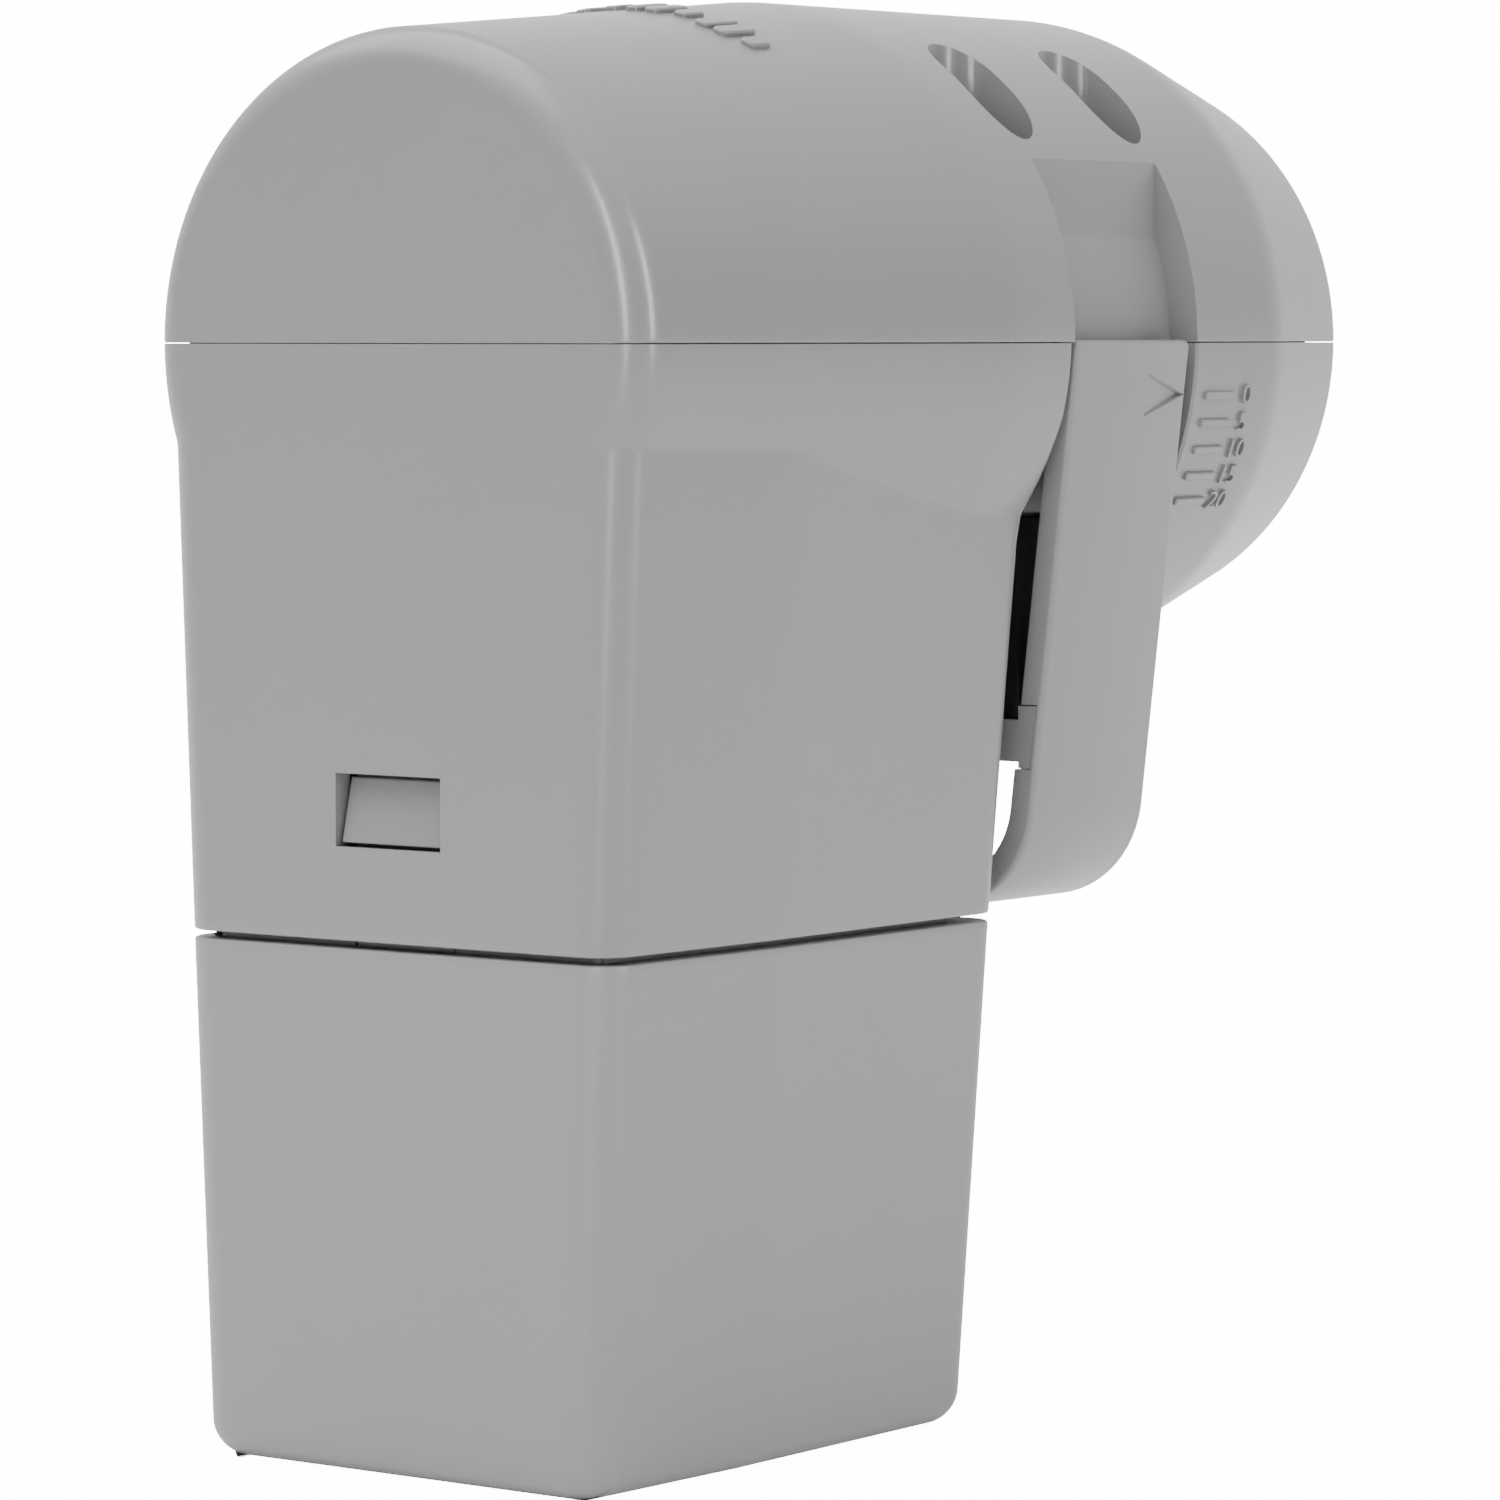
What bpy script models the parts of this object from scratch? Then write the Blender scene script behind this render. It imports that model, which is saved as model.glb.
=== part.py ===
"""Satellite low-noise converter head: clam-shell housing, feed horn, converter box, skew yoke and weather cover.

Lengths below are in millimetres and are turned into metres when a mesh is made. In the drum frame +X runs
forward along the horn, +Z is up, X = 0 is the flat rear face and z = 0 is the seam, which holds the drum axis.
"""
import math

import bmesh
import bpy
import numpy as np

MM = 0.001
GAP = 0.3                 # clearance between pieces that touch
SEAM = 0.15               # half of the gap between the two shells
STEPS = 22                # segments of a half turn on the large round pieces
FINE = 8                  # segments of a half turn on the small round pieces

# housing shells, along the drum
WALL = 2.4
CONE_LENGTH = 62.0
LAND_LENGTH = 11.2        # straight rim behind the yoke groove
GROOVE_LENGTH = 25.2
RIM_LENGTH = 17.6         # straight rim in front of the yoke groove
NOSE_LENGTH = 19.8
NOSE_EDGE_RADIUS = 6.0
NOSE_EDGE_END = 75.0      # where the rounded edge stops, degrees from straight out
BODY_LENGTH = CONE_LENGTH + LAND_LENGTH
GROOVE_END = BODY_LENGTH + GROOVE_LENGTH
NOSE_CREASE = GROOVE_END + RIM_LENGTH

# housing shells, across the drum
RIM_RADIUS = 38.0
REAR_TAPER = 5.1          # how much smaller the rear face's radius is
GROOVE_DEPTH = 3.7
NOSE_DROP = 11.6          # from the rim down to the centre of the rounded front edge
REAR_FILLET = 4.5
REAR_RADIUS = RIM_RADIUS - REAR_TAPER
GROOVE_RADIUS = RIM_RADIUS - GROOVE_DEPTH
NOSE_EDGE = (NOSE_CREASE + NOSE_LENGTH, RIM_RADIUS - NOSE_DROP)
BULKHEAD = 2.0
RING_BAY_START = BODY_LENGTH - 2.8 - WALL
RING_BAY_RADIUS = GROOVE_RADIUS - WALL
NOTCH_HALF_WIDTH = GROOVE_RADIUS - 2.2
NOTCH_TOP = 22.0
YOKE_SWING = 20.0

# square body below the drum
BODY_DEPTH = 63.1
BOX_REAR_WIDTH = REAR_RADIUS - 1.0     # half widths of the box at the seam
BOX_SPREAD = 1.3
BOX_WIDTH = BOX_REAR_WIDTH + BOX_SPREAD
BOX_KINK = 28.0
SIDE_DRAFT = 0.043
FRONT_AT_TOP = BODY_LENGTH - GAP
FRONT_LEAN = 0.044
CORNER_FILLET = 4.5
FRONT_FILLET = 3.5

# housing screws in the four bores
BORE_X = (BODY_LENGTH + 1.1, GROOVE_END - 1.9)
BORE_LENGTH = 12.3
BORE_WIDTH = 9.0
BORE_SEAT = 12.0
BOSS_WALL = 1.8
SCREW_RADIUS = 1.75
SCREW_CLEARANCE = 0.4
HEAD_RADIUS = 3.4
HEAD_HEIGHT = 2.6
SCREW_DEPTH = 9.0

# feed horn and front cap
NECK_RADIUS = 20.0
NECK_START = CONE_LENGTH - 2.0
WAVEGUIDE_RADIUS = 9.0
HORN_RADIUS = 26.3
HORN_LIP = 2.3
HORN_CHANNEL = 3.4
HORN_START = NOSE_CREASE - 4.0
SEAL_SPACE = 2.4
CAP_RADIUS = 26.1
CAP_FLANGE = CAP_RADIUS + 0.9
CAP_CROWN = 1.3           # how far the cap stands proud of the nose
NOSE_FRONT = NOSE_EDGE[0] + NOSE_EDGE_RADIUS * math.sin(math.radians(NOSE_EDGE_END))
CAP_FRONT = NOSE_FRONT + CAP_CROWN
HORN_END = NOSE_FRONT - 7.0

# yoke, cross bar and neck clamp
YOKE_START = BODY_LENGTH + 0.4
YOKE_END = GROOVE_END - 1.8
YOKE_HALF_WIDTH = RIM_RADIUS + GAP
YOKE_LEAN = 0.115
YOKE_WALL = 3.1
ARM_SLOT = 13.7           # room for the dish arm under the cross bar
YOKE_CORNER = 12.5
BAR_DROP = 3.6            # from the groove down to the seat's underside
BAR_THICK = 4.7
BAR_TOP = GROOVE_RADIUS + 4.0 + BAR_DROP
BAR_BOTTOM = BAR_TOP + BAR_THICK
YOKE_BOTTOM = BAR_BOTTOM + ARM_SLOT + YOKE_WALL
BAR_TAB_LENGTH = 5.1
BAR_TAB_TOP = BAR_TOP - 1.6
BAR_TAB_BOTTOM = BAR_BOTTOM + 0.7
BAR_TAB_SKIN = 0.6        # leg wall left outside the tab
BAR_SINK = 2.6
BAR_HEAD_RADIUS = 3.0
BAR_HEAD_HEIGHT = 2.1
CLAMP_WIDTH = 7.8
CLAMP_THICK = 5.0
CLAMP_CLEARANCE = 0.35
CLAMP_EAR = NECK_RADIUS + CLAMP_CLEARANCE + CLAMP_THICK + 5.25
CLAMP_EAR_HEIGHT = 3.5
CLAMP_STEM = 9.0
CLAMP_SCREW_Y = CLAMP_EAR - 2.7
CLAMP_SCREW_RADIUS = 1.3
BORE_Y = RIM_RADIUS - 13.5
SADDLE_CLEARANCE = 0.5
SADDLE_INSET = 1.2
BAR_SCREW_X = (YOKE_START + 5.9, YOKE_END - 6.1)
BAR_SCREW_RADIUS = 1.5
BAR_SCREW_TIP = 5.0       # how far the screws reach above the bar

# converter box inside the housing
CASE_START = 8.0
CASE_HALF_WIDTH = 24.0
CASE_TOP = 24.0
CASE_BOTTOM = BODY_DEPTH - 12.6
CASE_WALL = 4.5
CASE_FLOOR = 2.5
UPRIGHT_THICK = 4.0
UPRIGHT_TOP = NECK_RADIUS - 2.0
GASKET = 0.9
LID = 1.8
LID_HEAD_RADIUS = 2.2
LID_HEAD_HEIGHT = 1.4
BOARD_THICK = 1.6
BOARD_LIFT = 2.0
CAN_HEIGHT = 9.0
CAN_WALL = 1.0
CAN_MARGIN = 2.0
PROBE_RADIUS = 0.6
PROBE_REACH = 9.0
PROBE_Y = 3.5
PORT_X = (20.5, 42.5)
PORT_Y = 11.0
PORT_RADIUS = 4.75
PORT_BORE = 3.3
PORT_LENGTH = 14.0
PORT_HEX = 6.3
PORT_HEX_HEIGHT = 3.5
PAD_X = (16.0, 44.0)
PAD_LENGTH = 10.0
PAD_HEIGHT = 10.0
PAD_DROP = 6.0

# weather cover and its latch
COVER_GAP = 0.8
COVER_HEIGHT = 56.4
COVER_FLOOR = 2.4
COVER_FILLET = 4.0
COLLAR_HEIGHT = 8.0
COLLAR_CLEARANCE = 0.5
COLLAR_WALL = 1.8
COVER_DEPTH = BODY_DEPTH + COVER_GAP + COVER_HEIGHT
OUTLET_START = 38.0
OUTLET_LENGTH = 20.0
OUTLET_WIDTH = 32.0
WINDOW_HALF_WIDTH = 7.1
WINDOW_HEIGHT = 7.8
WINDOW_BOTTOM = BODY_DEPTH - 10.0
WINDOW_TOP = WINDOW_BOTTOM - WINDOW_HEIGHT
TONGUE_HALF_WIDTH = WINDOW_HALF_WIDTH - 0.4
TONGUE_THICK = 1.6
TONGUE_ROOT = BODY_DEPTH + COVER_GAP + 4.1
CHANNEL_SKIN = 0.8
BARB_TOP_DEPTH = 2.1
BARB_BOTTOM_DEPTH = CHANNEL_SKIN + GAP

DATUM = (-CAP_FRONT / 2, 0.0, COVER_DEPTH)   # the drum frame's place in the part's own frame

COLOURS = {
    "grey": ((0.235, 0.237, 0.240), 0.42, 0.0),
    "black": ((0.012, 0.012, 0.013), 0.50, 0.0),
    "cap": ((0.26, 0.262, 0.265), 0.38, 0.0),
    "rubber": ((0.02, 0.02, 0.02), 0.80, 0.0),
    "cast": ((0.56, 0.57, 0.58), 0.38, 1.0),
    "steel": ((0.62, 0.62, 0.63), 0.28, 1.0),
    "nickel": ((0.66, 0.64, 0.60), 0.22, 1.0),
    "brass": ((0.75, 0.55, 0.22), 0.25, 1.0),
    "board": ((0.02, 0.13, 0.05), 0.45, 0.0),
    "white": ((0.82, 0.82, 0.80), 0.45, 0.0),
}


def clear_scene():
    for obj in list(bpy.data.objects):
        bpy.data.objects.remove(obj, do_unlink=True)


def material(name, kind):
    colour, roughness, metallic = COLOURS[kind]
    mat = bpy.data.materials.new(name)
    mat.use_nodes = True
    shader = mat.node_tree.nodes["Principled BSDF"]
    shader.inputs["Base Color"].default_value = (*colour, 1.0)
    shader.inputs["Roughness"].default_value = roughness
    shader.inputs["Metallic"].default_value = metallic
    mat.diffuse_color = (*colour, 1.0)
    return mat


def empty(name, place, parent=None):
    obj = bpy.data.objects.new(name, None)
    obj.location = [c * MM for c in place]
    obj.parent = parent
    bpy.context.scene.collection.objects.link(obj)
    return obj


def to_object(name, bm, origin=(0, 0, 0)):
    """Makes an object of a bmesh in millimetres, with its origin at the given point of the drum frame."""
    bmesh.ops.recalc_face_normals(bm, faces=bm.faces)
    bmesh.ops.translate(bm, verts=bm.verts, vec=[-c for c in origin])
    bmesh.ops.scale(bm, verts=bm.verts, vec=(MM, MM, MM))
    mesh = bpy.data.meshes.new(name)
    bm.to_mesh(mesh)
    bm.free()
    obj = bpy.data.objects.new(name, mesh)
    obj.location = [c * MM for c in origin]
    obj.parent = bpy.data.objects["drum_datum"]
    bpy.context.scene.collection.objects.link(obj)
    return obj


def piece(name, kind, bm, origin=(0, 0, 0)):
    obj = to_object(name, bm, origin)
    obj.data.materials.append(material(name, kind))
    return obj


def pieces(name, kind, shapes):
    """One numbered object for each of a set of like pieces."""
    for number, shape in enumerate(shapes, 1):
        finish(piece("%s_%d" % (name, number), kind, shape))


def finish(obj, angle=30.0):
    obj.data.shade_smooth()
    obj.data.set_sharp_from_angle(angle=math.radians(angle))


def cutter(name, bm, origin=(0, 0, 0)):
    obj = to_object("cut_" + name, bm, origin)
    obj.hide_render = True
    obj.display_type = "WIRE"
    return obj


def combine(obj, tool, operation="DIFFERENCE"):
    mod = obj.modifiers.new(tool.name, "BOOLEAN")
    mod.solver = "EXACT"
    mod.operation = operation
    mod.object = tool


# --- shape helpers: each returns a closed bmesh in the drum frame ---

def loft(loops):
    """Skins a list of equal-length closed loops and caps both ends."""
    bm = bmesh.new()
    rings = [[bm.verts.new(point) for point in loop] for loop in loops]
    count = len(loops[0])
    for lower, upper in zip(rings, rings[1:]):
        for i in range(count):
            j = (i + 1) % count
            bm.faces.new((lower[i], lower[j], upper[j], upper[i]))
    bm.faces.new(rings[0])
    bm.faces.new(list(reversed(rings[-1])))
    bmesh.ops.remove_doubles(bm, verts=bm.verts, dist=1e-5)
    return bm


def prism(outline, axis, low, high):
    """Extrudes a flat outline along axis: outline is (Y, Z) for X, (X, Z) for Y and (X, Y) for Z."""
    place = {"X": lambda a, b, c: (c, a, b), "Y": lambda a, b, c: (a, c, b), "Z": lambda a, b, c: (a, b, c)}[axis]
    return loft([[place(a, b, c) for a, b in outline] for c in (low, high)])


def box(x0, x1, y0, y1, z0, z1):
    return prism([(x0, y0), (x1, y0), (x1, y1), (x0, y1)], "Z", z0, z1)


def arc(cx, cy, radius, start, end, count):
    angles = np.radians(np.linspace(start, end, count + 1))
    return [(cx + radius * math.cos(t), cy + radius * math.sin(t)) for t in angles]


def cylinder(x, y, z0, z1, radius, sides=2 * FINE):
    return prism(arc(x, y, radius, 0, 360 - 360 / sides, sides - 1), "Z", z0, z1)


def revolve(profile, count=2 * STEPS):
    """Turns a closed (X, radius) profile about the drum axis; radius 0 points close on the axis."""
    loops = []
    for k in range(count):
        t = 2 * math.pi * k / count
        loops.append([(x, r * math.cos(t), r * math.sin(t)) for x, r in profile])
    bm = bmesh.new()
    rings = [[bm.verts.new(p) for p in loop] for loop in loops]
    size = len(profile)
    for a, b in zip(rings, rings[1:] + rings[:1]):
        for i in range(size):
            j = (i + 1) % size
            if profile[i][1] == 0 and profile[j][1] == 0:
                continue
            bm.faces.new((a[i], a[j], b[j], b[i]))
    bmesh.ops.remove_doubles(bm, verts=bm.verts, dist=1e-5)
    bmesh.ops.dissolve_degenerate(bm, edges=bm.edges, dist=1e-6)
    return bm


def merged(parts):
    """Puts several closed shapes into one mesh as separate bodies."""
    whole = bmesh.new()
    for part in parts:
        scratch = bpy.data.meshes.new("scratch")
        part.to_mesh(scratch)
        part.free()
        whole.from_mesh(scratch)
        bpy.data.meshes.remove(scratch)
    return whole


def half_disc(x, radius, side):
    """Half a disc across the drum at x, above the seam for side 1 and below it for side -1."""
    angles = np.linspace(0, math.pi, STEPS + 1)
    return [(x, radius * math.cos(t), side * max(radius * math.sin(t), SEAM)) for t in angles]


# --- profiles shared by the shells ---

def drum_radius(x):
    return REAR_RADIUS + (RIM_RADIUS - REAR_RADIUS) * min(x / CONE_LENGTH, 1.0)


def drum_profile(inset=0.0):
    """(X, radius) from the rear face to the rim: a filleted cone, then a straight rim."""
    fillet = REAR_FILLET - inset
    centre = (REAR_FILLET, drum_radius(REAR_FILLET) - REAR_FILLET)
    rear = [(x, r) for x, r in arc(*centre, fillet, 180, 90, 4)]
    return rear + [(CONE_LENGTH, RIM_RADIUS - inset), (BODY_LENGTH, RIM_RADIUS - inset)]


def nose_profile(inset=0.0, count=6):
    """(X, radius) from the crease: a taper that runs into the rounded front edge."""
    run, drop = NOSE_EDGE[0] - NOSE_CREASE, RIM_RADIUS - NOSE_EDGE[1]
    taper = math.atan2(drop, run) - math.asin(NOSE_EDGE_RADIUS / math.hypot(run, drop))
    crease = (NOSE_CREASE - inset * math.tan(taper / 2), RIM_RADIUS - inset)
    edge = arc(*NOSE_EDGE, NOSE_EDGE_RADIUS - inset, 90 - math.degrees(taper), 90 - NOSE_EDGE_END, count)
    return [crease] + edge


def nose_inner_front():
    return NOSE_FRONT - WALL


def cap_opening():
    return CAP_RADIUS + GAP


def inside_profile():
    """The hollow of the shells: body bay, bulkhead, ring bay, bulkhead, nose bay and front opening."""
    ring_end = GROOVE_END + WALL + 0.7
    nose_start = ring_end + BULKHEAD
    hole = NECK_RADIUS + GAP
    body = [p for p in drum_profile(WALL) if p[0] < CONE_LENGTH]
    nose = [p for p in nose_profile(WALL) if p[0] < nose_inner_front() - GAP]
    front = NOSE_FRONT + BULKHEAD
    return ([(WALL, 0)] + body + [(CONE_LENGTH, RIM_RADIUS - WALL), (RING_BAY_START - BULKHEAD, RIM_RADIUS - WALL),
            (RING_BAY_START - BULKHEAD, hole), (RING_BAY_START, hole), (RING_BAY_START, RING_BAY_RADIUS),
            (ring_end, RING_BAY_RADIUS), (ring_end, hole), (nose_start, hole), (nose_start, RIM_RADIUS - WALL)]
            + nose + [(nose_inner_front(), nose[-1][1]), (nose_inner_front(), cap_opening()),
                      (front, cap_opening()), (front, 0)])


def box_half_width(x, z):
    side = BOX_REAR_WIDTH + (BOX_WIDTH - BOX_REAR_WIDTH) * min(x / BOX_KINK, 1.0)
    return side - SIDE_DRAFT * -z


def body_half_width(x, z):
    drum = math.sqrt(max(drum_radius(x) ** 2 - z * z, 0))
    return max(drum, box_half_width(x, z))


def box_front(z):
    return FRONT_AT_TOP - FRONT_LEAN * -z


def plan_outline(z, inset=0.0, half_width=box_half_width, front_fillet=FRONT_FILLET, round_steps=4):
    """The box's outline at height z: filleted rear corners, sides that follow half_width, filleted front corners."""
    front = box_front(z) - inset
    rear_r = max(CORNER_FILLET - inset, 0.6)
    front_r = max(front_fillet - inset, 0.6)
    stations = [BOX_KINK * 0.55, BOX_KINK, 0.5 * (BOX_KINK + CONE_LENGTH), CONE_LENGTH]
    half = arc(inset + rear_r, half_width(rear_r, z) - inset - rear_r, rear_r, 180, 90, round_steps)
    half += [(x, half_width(x, z) - inset) for x in stations]
    half += arc(front - front_r, half_width(front - front_r, z) - inset - front_r, front_r, 90, 0, round_steps)
    return half + [(x, -y) for x, y in reversed(half)]


def at_height(outline, z):
    return [(x, y, z) for x, y in outline]


def collar_inset():
    return WALL + COLLAR_CLEARANCE


def obround(x, y, length, width, z0, z1):
    """A slot along Y with round ends, extruded along Z."""
    run = (length - width) / 2
    outline = arc(x, y + run, width / 2, 0, 180, FINE) + arc(x, y - run, width / 2, 180, 360, FINE)
    return prism(outline, "Z", z0, z1)


def bore_places():
    return [(x, side * BORE_Y) for x in BORE_X for side in (1, -1)]


def screw(x, y, seat, head_radius, head_height, radius, tip, drive=True):
    """A round-headed screw pointing down with a square drive recess."""
    profile = [(0, tip), (radius, tip), (radius, seat), (head_radius, seat), (head_radius, seat + head_height * 0.6),
               (head_radius * 0.72, seat + head_height)]
    recess = head_radius * 0.35
    if drive:
        profile += [(recess, seat + head_height), (recess, seat + head_height * 0.4), (0, seat + head_height * 0.4)]
    else:
        profile += [(0, seat + head_height)]
    return turned(profile, x, y)


def turned(profile, x, y, sides=12):
    """Turns a (radius, z) profile about an upright axis at (x, y)."""
    bm = bmesh.new()
    rings = []
    for k in range(sides):
        t = 2 * math.pi * k / sides
        rings.append([bm.verts.new((x + r * math.cos(t), y + r * math.sin(t), z)) for r, z in profile])
    size = len(profile)
    for a, b in zip(rings, rings[1:] + rings[:1]):
        for i in range(size):
            j = (i + 1) % size
            if profile[i][0] == 0 and profile[j][0] == 0:
                continue
            bm.faces.new((a[i], a[j], b[j], b[i]))
    bmesh.ops.remove_doubles(bm, verts=bm.verts, dist=1e-5)
    bmesh.ops.dissolve_degenerate(bm, edges=bm.edges, dist=1e-6)
    return bm


# --- housing ---

def shell_hollow(name, columns):
    """The hollow of one shell, with the screw columns left standing in it beside the horn's neck."""
    hollow = cutter(name, revolve(inside_profile()))
    bosses = cutter(name + "_bosses", merged(columns))
    neck = arc(0, 0, NECK_RADIUS + 2 * GAP, 0, 360 - 180 / STEPS, 2 * STEPS - 1)
    combine(bosses, cutter(name + "_neck", prism(neck, "X", RING_BAY_START - 5, GROOVE_END + 8)))
    combine(hollow, bosses)
    return hollow


def upper_columns():
    length = BORE_LENGTH + 2 * BOSS_WALL
    width = BORE_WIDTH + 2 * BOSS_WALL
    return [obround(x, y, length, width, SEAM, RIM_RADIUS + 1) for x, y in bore_places()]


def lower_columns():
    radius = SCREW_RADIUS + SCREW_CLEARANCE + BOSS_WALL
    return [cylinder(x, y, -RIM_RADIUS - 1, -SEAM, radius) for x, y in bore_places()]


def upper_shell():
    sections = [(x, r) for x, r in drum_profile()[:-1]]
    sections += [(GROOVE_END, RIM_RADIUS)] + nose_profile()
    shell = piece("upper_shell", "grey", loft([half_disc(x, r, 1) for x, r in sections]))
    combine(shell, shell_hollow("upper_hollow", upper_columns()))
    notches = []
    for side in (1, -1):
        inner = math.sqrt(GROOVE_RADIUS ** 2 - NOTCH_HALF_WIDTH ** 2)
        reach = RIM_RADIUS + 4
        curve = arc(0, 0, GROOVE_RADIUS, math.degrees(math.asin(inner / GROOVE_RADIUS)), -3, 6)
        outline = [(NOTCH_HALF_WIDTH, NOTCH_TOP), *curve, (reach, curve[-1][1]), (reach, NOTCH_TOP)]
        notches.append(prism([(side * y, z) for y, z in outline], "X", BODY_LENGTH, GROOVE_END))
    combine(shell, cutter("yoke_notches", merged(notches)))
    bores = [obround(x, y, BORE_LENGTH, BORE_WIDTH, BORE_SEAT, RIM_RADIUS + 3) for x, y in bore_places()]
    combine(shell, cutter("bores", merged(bores)))
    holes = [cylinder(x, y, -2, BORE_SEAT + 2, SCREW_RADIUS + SCREW_CLEARANCE) for x, y in bore_places()]
    combine(shell, cutter("upper_screw_holes", merged(holes)))
    finish(shell)


def lower_shell():
    levels = [3.0, -3.0, -6.0, -8.5, -11.0, -13.0, -15.0, -17.0, -19.0, -22.0, -BODY_DEPTH]
    loops = []
    for z in levels:
        blend = min(max((-z - 8) / 14, 0.0), 1.0)
        loops.append(at_height(plan_outline(z, 0.0, body_half_width, 0.6 + (FRONT_FILLET - 0.6) * blend), z))
    shell = piece("lower_shell", "grey", loft(loops))
    start = RING_BAY_START - WALL
    tube = [(start, 0), (start, GROOVE_RADIUS), (GROOVE_END, GROOVE_RADIUS), (GROOVE_END, RIM_RADIUS)]
    front = revolve(tube + nose_profile() + [(NOSE_FRONT, 0)])
    combine(shell, cutter("front_body", front), "UNION")
    combine(shell, cutter("above_seam", box(-10, CAP_FRONT + 10, -60, 60, -SEAM, 60)))
    combine(shell, shell_hollow("lower_hollow", lower_columns()))
    room_front = box_front(-BODY_DEPTH) - WALL - FRONT_FILLET
    room = []
    for z in (-4.0, -BODY_DEPTH - 4):
        outline = [(min(x, room_front), y) for x, y in inner_room()]
        room.append(at_height(outline, z))
    combine(shell, cutter("box_room", loft(room)))
    window = box(-3, WALL + 4, -WINDOW_HALF_WIDTH, WINDOW_HALF_WIDTH, -WINDOW_BOTTOM, -WINDOW_TOP)
    combine(shell, cutter("latch_window", window))
    channel = box(CHANNEL_SKIN, WALL + 4, -WINDOW_HALF_WIDTH, WINDOW_HALF_WIDTH, -BODY_DEPTH - 4, -WINDOW_TOP + 2)
    combine(shell, cutter("latch_channel", channel))
    swing = math.radians(YOKE_SWING) + math.asin(CLAMP_STEM / GROOVE_RADIUS)
    slot = RIM_RADIUS * math.sin(swing) + 0.5
    start, end = clamp_span()
    stem_slot = box(start - 0.7, end + 0.7, -slot, slot, -GROOVE_RADIUS - 3, -NECK_RADIUS - 4)
    combine(shell, cutter("stem_slot", stem_slot))
    holes = [cylinder(x, y, -SCREW_DEPTH - 1, 2, SCREW_RADIUS + SCREW_CLEARANCE) for x, y in bore_places()]
    combine(shell, cutter("lower_screw_holes", merged(holes)))
    finish(shell)


def inner_room():
    """The straight-sided room below the drum, a wall inside the box's narrowest outline."""
    return plan_outline(-BODY_DEPTH, WALL)


def housing_screws():
    seat = BORE_SEAT + GAP
    parts = [screw(x, y, seat, HEAD_RADIUS, HEAD_HEIGHT, SCREW_RADIUS, -SCREW_DEPTH) for x, y in bore_places()]
    pieces("housing_screw", "steel", parts)


def radome_cap():
    flange_front = nose_inner_front() - GAP
    back = HORN_END + SEAL_SPACE
    profile = [(back, 0), (back, CAP_FLANGE), (flange_front, CAP_FLANGE),
               (flange_front, CAP_RADIUS), (CAP_FRONT - 1.6, CAP_RADIUS), (CAP_FRONT - 0.6, CAP_RADIUS - 1.2),
               (CAP_FRONT - 0.15, CAP_RADIUS * 0.5), (CAP_FRONT, 0)]
    finish(piece("radome_cap", "cap", revolve(profile)))


def cap_seal():
    start, end = HORN_END + GAP, HORN_END + SEAL_SPACE - GAP
    finish(piece("cap_seal", "rubber", revolve([(start, HORN_RADIUS - 2.4), (end, HORN_RADIUS - 2.4),
                                                (end, HORN_RADIUS - 0.4), (start, HORN_RADIUS - 0.4)])))


# --- horn and converter box ---

def feed_horn():
    floor = HORN_START + 3
    outer = HORN_RADIUS - HORN_LIP
    middle = outer - HORN_CHANNEL
    mouth = outer - HORN_LIP - 2 * HORN_CHANNEL
    profile = [(NECK_START, WAVEGUIDE_RADIUS), (NECK_START, NECK_RADIUS), (HORN_START - 4, NECK_RADIUS),
               (HORN_START, HORN_RADIUS), (HORN_END, HORN_RADIUS), (HORN_END, outer),
               (floor, outer), (floor, middle), (HORN_END - 2, middle), (HORN_END - 2, mouth + HORN_CHANNEL),
               (floor, mouth + HORN_CHANNEL), (floor, mouth), (HORN_END - 4, mouth), (HORN_END - 4, mouth - HORN_LIP),
               (HORN_START - 6, WAVEGUIDE_RADIUS)]
    finish(piece("feed_horn", "cast", revolve(profile)))


def case_end():
    return NECK_START - GAP


def lnb_case():
    width = CASE_HALF_WIDTH
    end = case_end()
    outline = [(CASE_START, -CASE_BOTTOM), (end, -CASE_BOTTOM), (end, UPRIGHT_TOP),
               (end - UPRIGHT_THICK, UPRIGHT_TOP), (end - UPRIGHT_THICK, -CASE_TOP), (CASE_START, -CASE_TOP)]
    case = piece("lnb_case", "cast", prism(outline, "Y", -width, width))
    room = box(CASE_START + CASE_WALL, end - UPRIGHT_THICK - CASE_WALL, -width + CASE_WALL, width - CASE_WALL,
               -CASE_BOTTOM + CASE_FLOOR, -CASE_TOP + 3)
    combine(case, cutter("case_room", room))
    spigots = [cylinder(x, y, -CASE_BOTTOM - 2, -CASE_BOTTOM + CASE_FLOOR + 2, PORT_RADIUS + GAP)
               for x, y in port_places()]
    combine(case, cutter("port_holes", merged(spigots)))
    holes = [cylinder(x, y, -CASE_TOP - 9, -CASE_TOP + 2, CLAMP_SCREW_RADIUS + GAP) for x, y in lid_screw_places()]
    combine(case, cutter("case_screw_holes", merged(holes)))
    finish(case)


def lid_end():
    return case_end() - UPRIGHT_THICK - GAP


def lid_screw_places():
    inset = CASE_WALL / 2
    return [(x, side * (CASE_HALF_WIDTH - inset)) for x in (CASE_START + inset, lid_end() - inset)
            for side in (1, -1)]


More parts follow.
